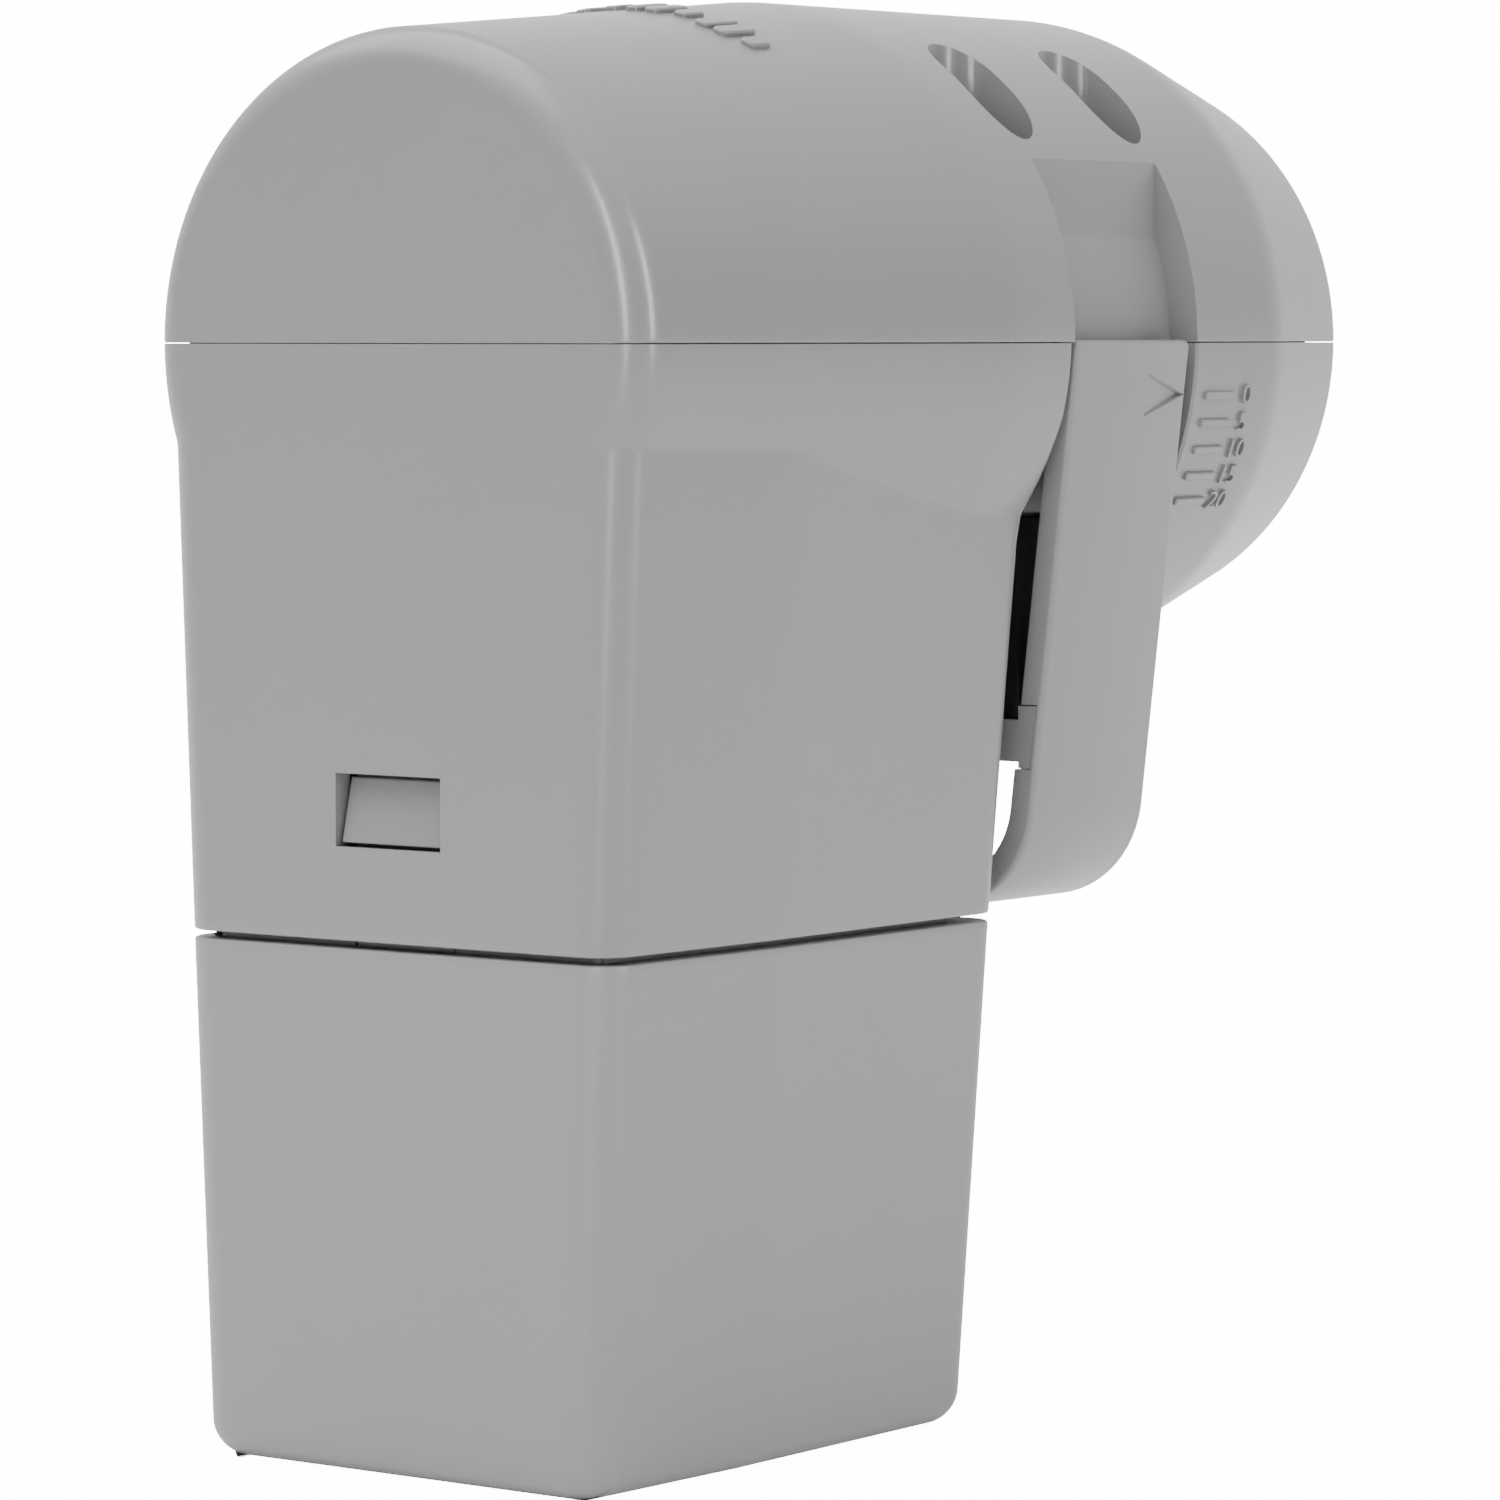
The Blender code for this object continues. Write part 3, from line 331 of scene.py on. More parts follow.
def boardMaterial():
    # solder mask with paler tracks where the cells of one Manhattan cell pattern meet
    mat, nodes, links = newMaterial("solderMask")
    shader = nodes["Principled BSDF"]
    shader.inputs["Roughness"].default_value = 0.35
    place = nodes.new("ShaderNodeTexCoord")
    cells = nodes.new("ShaderNodeTexVoronoi")
    cells.distance = "MANHATTAN"
    cells.inputs["Scale"].default_value = 260.0
    links.new(place.outputs["Object"], cells.inputs["Vector"])
    ramp = nodes.new("ShaderNodeValToRGB")
    ramp.color_ramp.elements[0].position = 0.42
    ramp.color_ramp.elements[0].color = (0.012, 0.10, 0.035, 1)
    ramp.color_ramp.elements[1].position = 0.5
    ramp.color_ramp.elements[1].color = (0.03, 0.20, 0.07, 1)
    links.new(cells.outputs["Distance"], ramp.inputs["Fac"])
    links.new(ramp.outputs["Color"], shader.inputs["Base Color"])
    return mat


greyColour = (0.226, 0.228, 0.231)
housingGrey = grainedMaterial("housingGrey", greyColour, 0.27, mottle=0.05, bump=0.12)
coverGrey = grainedMaterial("coverGrey", (0.240, 0.242, 0.245), 0.42, mottle=0.05, bump=0.12)
yokeGrey = grainedMaterial("yokeGrey", (0.228, 0.230, 0.233), 0.32, mottle=0.05, bump=0.10)
capGrey = grainedMaterial("capGrey", (0.25, 0.252, 0.255), 0.36, mottle=0.04, bump=0.06)
# near-black plastic for the neck clamp and ring cap, made dark enough to paint in the deep shade of the
# cavity between the yoke legs: part real black plastic, part painted shade
clampBlackAndPaintedShade = grainedMaterial("clampBlackAndPaintedShade", (0.010, 0.010, 0.011), 0.5, mottle=0.10, bump=0.2)
sealRubber = grainedMaterial("sealRubber", (0.018, 0.018, 0.019), 0.78, 2200.0, 0.25, 0.2, specular=0.3)
castMetal = grainedMaterial("castMetal", (0.50, 0.51, 0.52), 0.42, 1500.0, 0.35, 0.16, metallic=1.0)
zincSteel = grainedMaterial("zincSteel", (0.66, 0.66, 0.67), 0.24, 2600.0, 0.08, 0.12, metallic=1.0)
nickelPlate = grainedMaterial("nickelPlate", (0.70, 0.67, 0.62), 0.20, 2600.0, 0.06, 0.10, metallic=1.0)
contactBrass = grainedMaterial("contactBrass", (0.80, 0.60, 0.28), 0.22, 2600.0, 0.05, 0.10, metallic=1.0)
insulatorWhite = grainedMaterial("insulatorWhite", (0.80, 0.80, 0.77), 0.40, 2600.0, 0.05, 0.03)
solderMask = boardMaterial()
print("materials made")

# Sizes read from the frame
upperLowMm, upperHighMm = boxMm("upper_shell")
lowerLowMm, lowerHighMm = boxMm("lower_shell")
coverLowMm, coverHighMm = boxMm("weather_cover")
yokeLowMm, yokeHighMm = boxMm("yoke")

drum = dict(
    rearRadius=32.9, rimRadius=float(upperHighMm[1]), coneLength=62.0, length=73.2, fillet=4.5,
    grooveEnd=98.4, grooveRadius=34.3, crease=116.0, ease=16.0, noseEdge=(135.8, 26.4), noseEdgeRadius=6.0,
    noseEdgeEnd=75.0, wall=2.4, edge=0.22)
box = dict(
    rearWidth=31.9, width=33.2, kink=28.0, sideDraft=0.043, front=72.9, frontLean=0.044, cornerFillet=4.5,
    frontFillet=3.5, bottom=float(-lowerLowMm[2]), blend=0.12, edge=0.3,
    flare=0.88, flareRear=-0.4)


def drumRadius(x):
    # the radius grows evenly from the rear face to the end of the cone, then stays
    growth = drum["rimRadius"] - drum["rearRadius"]
    return drum["rearRadius"] + growth * np.minimum(x / drum["coneLength"], 1.0)


def drumProfile(inset=0.0, step=1.5):
    # (x, radius): a point on the flat rear face, the fillet, the cone and the rim
    fillet = drum["fillet"]
    centreR = float(drumRadius(fillet)) - fillet
    rear = arcPoints(fillet, centreR, fillet - inset, 180, 92, 14)
    flat = np.array([[inset, centreR - 1.0]])
    x = np.arange(fillet + step, drum["length"] - drum["edge"], step)
    cone = np.stack([x, drumRadius(x) - inset], 1)
    return np.concatenate([flat, rear, cone])


def noseProfile(inset=0.0, steps=18):
    # (x, radius): an eased crease, a straight taper and a rounded front edge, each tangent to the next
    centreX, centreR = drum["noseEdge"]
    run, drop = centreX - drum["crease"], drum["rimRadius"] - centreR
    taper = math.atan2(drop, run) - math.asin(drum["noseEdgeRadius"] / math.hypot(run, drop))
    turn = 90 - math.degrees(taper)
    crease = arcPoints(drum["crease"] - drum["ease"] * math.tan(taper / 2), drum["rimRadius"] - drum["ease"],
                       drum["ease"] - inset, 90, turn, 6)
    edge = arcPoints(centreX, centreR, drum["noseEdgeRadius"] - inset, turn, 90 - drum["noseEdgeEnd"], steps)
    return np.concatenate([crease, straight(crease[-1], edge[0], 12)[1:-1], edge])


def halfDisc(x, radius, side, count=170, edge=0.22):
    # half a disc across the drum with its two seam corners rounded by the edge radius
    flatZ = seamLine
    corner = arcPoints(radius - edge - 0.002, flatZ + edge, edge, -90, -8, 4)
    start = math.asin((flatZ + edge) / radius)
    t = np.linspace(start, math.pi - start, count)
    body = np.stack([radius * np.cos(t), radius * np.sin(t)], 1)
    mirror = corner[::-1] * [-1, 1]
    loop = np.concatenate([corner, body, mirror])
    return np.column_stack([np.full(len(loop), x), loop[:, 0], side * loop[:, 1]])


def hollowProfile():
    # the room inside both shells, as a closed (x, radius) profile
    wall, hole = drum["wall"], 20.3
    bay = 68.0
    ringEnd = drum["grooveEnd"] + wall + 0.7
    noseStart = ringEnd + 2.0
    front = noseProfile()[-1, 0]
    body = drumProfile(wall, 3.0)
    body = body[(body[:, 0] < drum["coneLength"])][1:]
    nose = noseProfile(wall)
    nose = nose[nose[:, 0] < front - wall - 0.3]
    inner = drum["rimRadius"] - wall
    opening = 26.4
    return np.concatenate([
        [(wall, 0)], body, [(drum["coneLength"], inner), (bay - 2, inner), (bay - 2, hole), (bay, hole),
                            (bay, 31.9), (ringEnd, 31.9), (ringEnd, hole),
                            (noseStart, hole), (noseStart, inner)],
        nose, [(front - wall, nose[-1, 1]), (front - wall, opening), (front + 2, opening), (front + 2, 0)]])


bore = dict(x=(74.3, 96.5), y=24.5, length=12.3, width=9.0, seat=12.0, wall=1.8, screw=2.15)
borePlaces = [(x, side * bore["y"]) for x in bore["x"] for side in (1, -1)]


def slotBlock(name, x, y, length, width, low, high, count=20):
    # an upright block whose outline is a slot along y with round ends
    run = (length - width) / 2
    outline = np.concatenate([arcPoints(x, y + run, width / 2, 0, 180, count),
                              arcPoints(x, y - run, width / 2, 180, 360, count)])
    return extrude(name, outline, "z", low, high)


def upright(name, x, y, low, high, radius, count=40):
    return extrude(name, arcPoints(x, y, radius, 0, 360 - 360 / count, count - 1), "z", low, high)


def hollowTool(name, columns):
    hollow = turnX(name, hollowProfile(), 96)
    neck = extrude("neckRoom", arcPoints(0, 0, 20.6, 0, 355, 71), "x", 60, 108)
    bosses = carve(joined("bosses", columns), [neck])
    return carve(hollow, [bosses])


notch = dict(inner=32.1, top=22.0)


def buildUpperShell():
    print("upper shell")
    edge = drum["edge"]
    rim = drum["rimRadius"]
    profile = np.concatenate([
        drumProfile(), straight((drum["length"], rim), noseProfile()[0], 30), noseProfile()[1:]])
    front = profile[-1]
    profile = np.concatenate([profile, [front + [0.12, -0.25], front + [0.12, -0.7]]])
    shell = skinLoops("upperShell", [halfDisc(x, r, 1, edge=edge) for x, r in profile])
    columns = [slotBlock("column", x, y, bore["length"] + 2 * bore["wall"], bore["width"] + 2 * bore["wall"],
                         seamGap, rim + 1) for x, y in borePlaces]
    carve(shell, [hollowTool("upperRoom", columns)])
    tools = []
    for side in (1, -1):
        inner = math.degrees(math.acos(notch["inner"] / drum["grooveRadius"]))
        curve = arcPoints(0, 0, drum["grooveRadius"], inner, -3, 24)
        corners = [(rim + 4, curve[-1, 1]), (rim + 4, notch["top"])]
        outline = np.concatenate([[(notch["inner"], notch["top"])], curve, corners]) * [side, 1]
        tools.append(extrude("notch", outline, "x", drum["length"], drum["grooveEnd"]))
    for x, y in borePlaces:
        tools.append(slotBlock("bore", x, y, bore["length"], bore["width"], bore["seat"], rim + 3))
        tools.append(upright("screwHole", x, y, -2, bore["seat"] + 2, bore["screw"]))
    carve(shell, tools)
    return settle(shell, "housing", housingGrey, ["upper_shell"])


def boxHalfWidth(x, z):
    # rear width to full width up to the kink, less the draft, plus a flare that fades out at the bottom
    share = np.minimum(x / box["kink"], 1.0)
    flare = box["flareRear"] + (box["flare"] - box["flareRear"]) * share
    side = box["rearWidth"] + (box["width"] - box["rearWidth"]) * share
    return side - box["sideDraft"] * -z + flare * np.maximum(1 - np.abs(z) / box["bottom"], 0)


def bodyHalfWidth(x, z):
    # the wider of drum and box, run together over the blend width where they meet
    drumWidth = np.sqrt(np.maximum(drumRadius(x) ** 2 - z * z, 0))
    flat = boxHalfWidth(x, z)
    reach = np.maximum(1 - np.abs(drumWidth - flat) / box["blend"], 0)
    return np.maximum(drumWidth, flat) + 0.25 * box["blend"] * reach ** 2


def planOutline(z, inset=0.0, halfWidth=boxHalfWidth, frontFillet=None, limit=None):
    # outline at height z: filleted rear corners, sides that follow halfWidth, filleted front corners
    front = box["front"] - box["frontLean"] * -z - inset
    rearR = max(box["cornerFillet"] - inset, 0.6)
    frontR = max((box["frontFillet"] if frontFillet is None else frontFillet) - inset, 0.3)
    rear = arcPoints(inset + rearR, float(halfWidth(rearR, z)) - inset - rearR, rearR, 180, 90, 12)
    x = np.linspace(rearR, front - frontR, 50)[1:-1]
    side = np.stack([x, halfWidth(x, z) - inset], 1)
    corner = arcPoints(front - frontR, float(halfWidth(front - frontR, z)) - inset - frontR, frontR, 90, 0, 9)
    start = np.array([[inset, rear[0, 1] - 0.4]])
    end = np.array([[front, corner[-1, 1] - 0.4]])
    half = np.concatenate([start, rear, side, corner, end])
    if limit is not None:
        half[:, 0] = np.minimum(half[:, 0], limit)
    return np.concatenate([half, half[::-1] * [1, -1]])


def level(outline, z):
    return np.column_stack([outline, np.full(len(outline), z)])


latch = dict(halfWidth=7.1, top=45.3, bottom=53.1, skin=0.8)


def buildLowerShell():
    print("lower shell")
    bottom, edge, rim = box["bottom"], box["edge"], drum["rimRadius"]
    heights = np.concatenate([
        [3.0, 0.2, -seamLine], np.arange(-0.8, -24, -0.3), np.linspace(-25, -bottom + 1, 26)])
    loops = []
    for z in heights:
        blend = min(max((-z - 8) / 14, 0.0), 1.0)
        loops.append(level(planOutline(z, 0.0, bodyHalfWidth, 0.6 + (box["frontFillet"] - 0.6) * blend), z))
    loops.append(level(planOutline(-bottom + edge), -bottom + edge))
    loops.append(level(planOutline(-bottom, 0.3 * edge), -bottom + 0.3 * edge))
    loops.append(level(planOutline(-bottom, edge), -bottom))
    shell = skinLoops("lowerShell", loops)
    start = 64.0
    groove = drum["grooveRadius"]
    nose = noseProfile()
    tube = np.concatenate([
        [(start, 0), (start, groove)], straight((start + 1, groove), (drum["grooveEnd"], groove), 12),
        straight((drum["grooveEnd"], rim - 0.3), (drum["grooveEnd"] + 0.3, rim), 2),
        straight((drum["grooveEnd"] + 1, rim), nose[0], 16), nose[1:],
        [nose[-1] + [0.12, -0.25], nose[-1] + [0.12, -0.7], (nose[-1, 0] + 0.12, 0)]])
    carve(shell, [turnX("frontBody", tube, 340)], "UNION")
    carve(shell, [block("aboveSeam", -10, 150, -60, 60, -seamLine, 60)])
    columns = [upright("column", x, y, -rim - 1, -seamGap, bore["screw"] + bore["wall"])
               for x, y in borePlaces]
    roomFront = box["front"] - box["frontLean"] * bottom - drum["wall"] - box["frontFillet"]
    room = planOutline(-bottom, drum["wall"], limit=roomFront)
    slot = 19.7 + 3.2
    tools = [hollowTool("lowerRoom", columns),
             skinLoops("boxRoom", [level(room, -4.0), level(room, -bottom - 4)]),
             block("window", -3, 6, -latch["halfWidth"], latch["halfWidth"], -latch["bottom"], -latch["top"]),
             block("channel", latch["skin"], 6, -latch["halfWidth"], latch["halfWidth"],
                   -bottom - 4, -latch["top"] + 2),
             block("stemSlot", 80.8, 90.0, -slot, slot, -groove - 3, -24)]
    tools += [upright("screwHole", x, y, -10, 2, bore["screw"]) for x, y in borePlaces]
    carve(shell, tools)
    return settle(shell, "housing", housingGrey, ["lower_shell"])


lip = dict(inset=2.5, thick=1.1, low=-3.0, high=1.4, backEnd=64.0, noseStart=104.0, noseEnd=133.0)


def lipPath(inset):
    # round the inside of the rear wall and along both sides of the cone, at the seam
    radius = drum["fillet"] - inset * 0.8
    x = np.linspace(inset + radius + 1, lip["backEnd"], 30)
    corner = arcPoints(inset + radius, float(drumRadius(inset + radius)) - inset - radius, radius, 180, 90, 8)
    half = np.concatenate([corner, np.stack([x, drumRadius(x) - inset], 1)])
    return np.concatenate([half[::-1], half * [1, -1]])


def buildSeamLip():
    # a low rib just inside the seam that stands on the lower shell and closes the joint to light
    print("seam lip")
    low, high = lip["low"], lip["high"]
    outer, inner = lipPath(lip["inset"]), lipPath(lip["inset"] + lip["thick"])
    parts = [extrude("lipBack", np.concatenate([outer, inner[::-1]]), "z", low, high)]
    near = noseProfile(lip["inset"])
    near = np.concatenate([[(lip["noseStart"], near[0, 1])], near[near[:, 0] < lip["noseEnd"]]])
    far = near - [0, lip["thick"]]
    for side in (1, -1):
        parts.append(extrude("lipNose", np.concatenate([near, far[::-1]]) * [1, side], "z", low, high))
    return settle(joined("seamLip", parts), "housing", housingGrey)


cover = dict(fillet=4.0, floor=2.4, collar=8.0, clearance=0.5, collarWall=1.8, edge=0.35)


def buildWeatherCover():
    print("weather cover")
    top, bottom = -box["bottom"] - 0.8, float(coverLowMm[2])
    fillet, edge = cover["fillet"], cover["edge"]
    loops = []
    for t in np.radians(np.linspace(0, 90, 13)):
        z = bottom + fillet * (1 - math.sin(t))
        loops.append(level(planOutline(z, fillet * (1 - math.cos(t))), z))
    loops = loops[::-1]
    loops.insert(0, level(planOutline(bottom, fillet + 0.5), bottom))
    loops += [level(planOutline(z), z) for z in np.linspace(bottom + fillet + 1.5, top - 1.0, 24)]
    loops += [level(planOutline(top - edge), top - edge),
              level(planOutline(top, 0.3 * edge), top - 0.3 * edge), level(planOutline(top, edge), top)]
    inset = drum["wall"] + cover["clearance"]
    front = box["front"] - box["frontLean"] * box["bottom"] - box["frontFillet"] - inset
    rise = -box["bottom"] + cover["collar"]
    collar = planOutline(-box["bottom"], inset, limit=front)
    tip = planOutline(-box["bottom"], inset + 0.4, limit=front - 0.4)
    loops += [level(collar, top), level(collar, rise - 0.4), level(tip, rise)]
    piece = skinLoops("weatherCover", loops)
    inner = planOutline(-box["bottom"], inset + cover["collarWall"], limit=front - cover["collarWall"])
    tools = [skinLoops("coverRoom", [level(inner, bottom + cover["floor"]), level(inner, rise + 4)])]
    outlet = roundCorners([(38, -16), (58, -16), (58, 16), (38, 16)], [3] * 4, 8)
    tools.append(extrude("outlet", outlet, "z", bottom - 3, bottom + cover["floor"] + 3))
    face = drum["wall"] + cover["clearance"]
    half = float(boxMm("latch_tongue")[1][1]) + 0.16
    tools.append(block("tongueSlot", face - 0.2, face + 2.6, -half, half, -67.7, rise + 4))
    tools.append(block("tongueSlotTop", -2, face + 2.6, -half, half, top + 0.001, rise + 4))
    carve(piece, tools)
    return settle(piece, "cover", coverGrey, ["weather_cover"])


yoke = dict(start=float(yokeLowMm[0]), end=float(yokeHighMm[0]), halfWidth=38.3, lean=0.115, wall=3.1,
            bottom=float(-yokeLowMm[2]), corner=12.5, edge=0.7, skin=0.75)


def yokePath(inset=0.0):
    # half of the U from the top of the +y leg to the middle of the floor, as (y, z)
    radius = yoke["corner"] - inset
    slope = math.hypot(1, yoke["lean"])
    tilt = math.degrees(math.atan(yoke["lean"]))
    centreZ = -yoke["bottom"] + inset + radius
    centreY = yoke["halfWidth"] - yoke["lean"] * -centreZ - inset * slope - radius * slope
    top = np.array([yoke["halfWidth"] - inset * slope + yoke["lean"] * 0.3, 0.3])
    curve = arcPoints(centreY, centreZ, radius, -tilt, -90, 28)
    middle = straight(curve[-1], (0, curve[-1, 1]), 12)
    return np.concatenate([straight(top, curve[0], 40), curve[1:], middle[1:]])


def yokeLoop(x0, x1, e):
    # rounded rectangle: u runs along x, v through the wall from the outer face (0) to the inner face (1)
    wall = yoke["wall"]
    c = roundCorners([(x0, 0.0), (x1, 0.0), (x1, wall), (x0, wall)], [e, e, e * 0.5, e * 0.5], 4)
    return c


barTab = dict(low=-47.3, high=-40.3, depth=5.1)
arrow = dict(base=88.5, length=7.1, top=-3.7, tip=-5.85, bottom=-8.0, shallow=0.2, deepen=0.45)


def tabBlocks(name, inner, grow):
    # blocks through the rear edge of both legs that stop a skin short of the outer face
    low, high = barTab["low"] - grow, barTab["high"] + grow
    outer = [yoke["halfWidth"] + yoke["lean"] * z - yoke["skin"] - 0.2 + grow for z in (low, high)]
    outline = np.array([(inner, low), (outer[0], low), (outer[1], high), (inner, high)])
    start = yoke["start"] - (2 if grow > 0 else -0.1)
    end = yoke["start"] + barTab["depth"] + grow
    return [extrude(name, outline * [side, 1], "x", start, end) for side in (1, -1)]


def buildYoke():
    print("yoke")
    outer, inner = yokePath(), yokePath(yoke["wall"])
    outer = np.concatenate([outer, (outer[::-1] * [-1, 1])[1:]])
    inner = np.concatenate([inner, (inner[::-1] * [-1, 1])[1:]])
    section = yokeLoop(yoke["start"], yoke["end"], yoke["edge"])
    share = section[:, 1] / yoke["wall"]
    grid = outer[:, None, :] * (1 - share)[None, :, None] + inner[:, None, :] * share[None, :, None]
    x = np.broadcast_to(section[:, 0], grid.shape[:2])
    loops = np.concatenate([x[..., None], grid], -1)
    ends = []
    for ring in (loops[0], loops[-1]):
        middle = ring.mean(0)
        caps = []
        for drop, pull in ((0.0, 0.7), (0.18, 0.28), (0.55, 0.05)):
            r = ring.copy()
            span = np.array([0.5 * (yoke["end"] - yoke["start"]), yoke["wall"] / 2])
            r[:, 0] = middle[0] + (ring[:, 0] - middle[0]) * (1 - pull / span[0])
            r[:, 1] = middle[1] + (ring[:, 1] - middle[1]) * (1 - pull / span[1])
            r[:, 2] = 0.3 - drop
            caps.append(r)
        ends.append(caps)
    first, last = ends
    body = [row for row in loops[1:-1]]
    piece = skinLoops("yokeFrame", first + body + last[::-1])
    carve(piece, tabBlocks("tabNotch", 26.0, 0.12))
    arrows = []
    for side in (1, -1):
        outline = np.array([(arrow["base"], arrow["top"]), (arrow["base"], arrow["bottom"]),
                            (arrow["base"] + arrow["length"], arrow["tip"])])
        rim = insetOutline(outline, -0.2)
        ramp = arrow["shallow"] + arrow["deepen"] * (outline[:, 0] - arrow["base"]) / arrow["length"]
        rows = []
        for depth, shape in ((-1.0, rim), (0.0, rim), (ramp, outline)):
            y = yoke["halfWidth"] + yoke["lean"] * shape[:, 1] - depth
            rows.append(np.column_stack([shape[:, 0], side * y, shape[:, 1]]))
        arrows.append(skinLoops("arrow", rows))
    carve(piece, arrows)
    return settle(piece, "yoke", yokeGrey, ["yoke"])


def buildCrossBar():
    low, high = boxMm("cross_bar")
    top, bottom = -41.9, -46.6
    reach = yoke["halfWidth"] + yoke["lean"] * bottom - yoke["wall"] * math.hypot(1, yoke["lean"]) - 0.3
    start, tab, end = low[0] + 0.1, low[0] + 5.1, high[0]
    outline = [(end, reach), (tab, reach), (tab, reach + 1.6), (start, reach + 1.6),
               (start, -reach - 1.6), (tab, -reach - 1.6), (tab, -reach), (end, -reach)]
    piece = extrude("crossBar", outline, "z", bottom, top)
    carve(piece, tabBlocks("barTab", reach + 0.75, 0.0), "UNION")
    screws = (79.5, 90.5)
    carve(piece, [upright("hole", x, 0, bottom - 2, top + 2, 1.8) for x in screws]
          + [upright("sink", x, 0, bottom - 2, bottom + 2.6, 3.3) for x in screws])
    softEdges(piece, 0.2)
    return settle(piece, "yoke", yokeGrey, ["cross_bar"])


def buildNeckClamp():
    print("neck clamp")
    low, high = boxMm("neck_clamp")
    ringLow, ringHigh = boxMm("neck_ring_cap")
    start, end = ringLow[0], ringHigh[0]
    inner, outer, saddle = 20.35, 25.35, drum["grooveRadius"] + 0.5
    dip = math.degrees(math.asin(seamGap / inner))
    ear = math.degrees(math.asin(3.5 / outer))
    root = -90 + math.degrees(math.asin(9.0 / outer))
    half = np.concatenate([arcPoints(0, 0, inner, -90, -dip, 40), [(30.6, -seamGap), (30.6, -3.5)],
                           arcPoints(0, 0, outer, -ear, root, 24), [(9.0, -saddle - 2)]])
    outline = np.concatenate([half, half[::-1][:-1] * [-1, 1]])
    clamp = extrude("neckClamp", outline, "x", start, end)
    floor = low[2]
    reach = yoke["halfWidth"] + yoke["lean"] * floor - yoke["wall"] * math.hypot(1, yoke["lean"]) - 0.6
    side = math.degrees(math.atan2(-math.sqrt(saddle ** 2 - (reach - 1) ** 2), reach - 1))
    saddleOutline = np.concatenate([
        arcPoints(0, 0, saddle, side, -180 - side, 60), [(-reach, floor), (reach, floor)]])
    carve(clamp, [extrude("saddle", saddleOutline, "x", low[0], high[0])], "UNION")
    tools = [upright("hole", x, 0, floor - 2, floor + 5.5, 1.8) for x in (79.5, 90.5)]
    middle = 0.5 * (start + end)
    tools += [upright("earHole", middle, s * 27.9, -6, 2, 1.6) for s in (1, -1)]
    carve(clamp, tools)
    # the clamp's near-black finish also stands in as painted shade inside the yoke
    return settle(clamp, "yoke", clampBlackAndPaintedShade, ["neck_clamp"])


def buildLatchTongue():
    print("latch tongue")
    low, high = boxMm("latch_tongue")
    face = drum["wall"] + cover["clearance"]
    back = high[0]
    barbTop, barbLow = -latch["top"] - 0.45, -latch["bottom"] + 0.4
    outline = [(face, low[2]), (back, low[2]), (back, high[2]),
               (face, high[2]), (face, barbTop), (2.1, barbTop),
               (low[0] - 0.6, barbLow), (face, barbLow)]
    piece = extrude("latchTongue", outline, "y", low[1], high[1])
    softEdges(piece, 0.22, 3)
    return settle(piece, "latch", housingGrey, ["latch_tongue"])


def buildRadomeCap():
    print("front cap")
    low, high = boxMm("radome_cap")
    r, front = 26.1, high[0]
    flange = high[1]
    rimArc = arcPoints(front - 1.9, r - 1.3, 1.3, 90, 12, 8)
    crown = np.stack([front - 0.45 * (np.linspace(1, 0, 14)) ** 2, (r - 1.3) * np.linspace(0.97, 0.0, 14)], 1)
    backFlange = noseProfile()[-1, 0] - drum["wall"] - 0.3
    profile = np.concatenate([[(low[0], 0), (low[0], flange - 0.3),
                               (low[0] + 0.3, flange), (backFlange, flange),
                               (backFlange, r)], rimArc, crown])
    piece = turnX("radomeCap", profile, 180)
    return settle(piece, "housing", capGrey, ["radome_cap"])


screwHead = dict(radius=3.4, height=2.6, shank=1.75)


def buildHousingScrews():
    print("screws")
    for number, (x, y) in enumerate(borePlaces, 1):
        low, high = boxMm("housing_screw_%d" % number)
        seat, top = high[2] - screwHead["height"], high[2]
        r, shank = screwHead["radius"], screwHead["shank"]
        dome = np.stack([seat + 1.2 + 1.4 * np.sin(np.linspace(0.1, 1, 9) * np.pi / 2),
                         r * np.cos(np.linspace(0.1, 1, 9) * np.pi / 2) * 0.98], 1)
        profile = np.concatenate([[(low[2], 0), (low[2] + 1.5, shank * 0.55)],
                                  threadProfile(low[2] + 1.8, seat - 2, shank, 1.1),
                                  [(seat, shank), (seat, r - 0.15),
                                  (seat + 0.15, r)], dome])
        piece = turnZ("housingScrew%d" % number, profile, x, y, 40)
        cross = [block("crossA", x - 0.45, x + 0.45, y - 1.7, y + 1.7, top - 1.6, top + 2),
                 block("crossB", x - 1.7, x + 1.7, y - 0.45, y + 0.45, top - 1.6, top + 2)]
        carve(piece, cross)
        settle(piece, "housing", zincSteel, ["housing_screw_%d" % number])


def threadProfile(low, high, radius, pitch):
    # the radius falls and rises once each pitch between the crest and the root of the thread
    count = max(int((high - low) / pitch * 4), 4)
    z = np.linspace(low, high, count + 1)
    depth = 0.5 - 0.5 * np.cos((z - low) / pitch * 2 * np.pi)
    return np.stack([z, radius - 0.22 * pitch * depth], 1)


port = dict(radius=4.75, bore=3.3, pitch=0.79, depth=0.30)


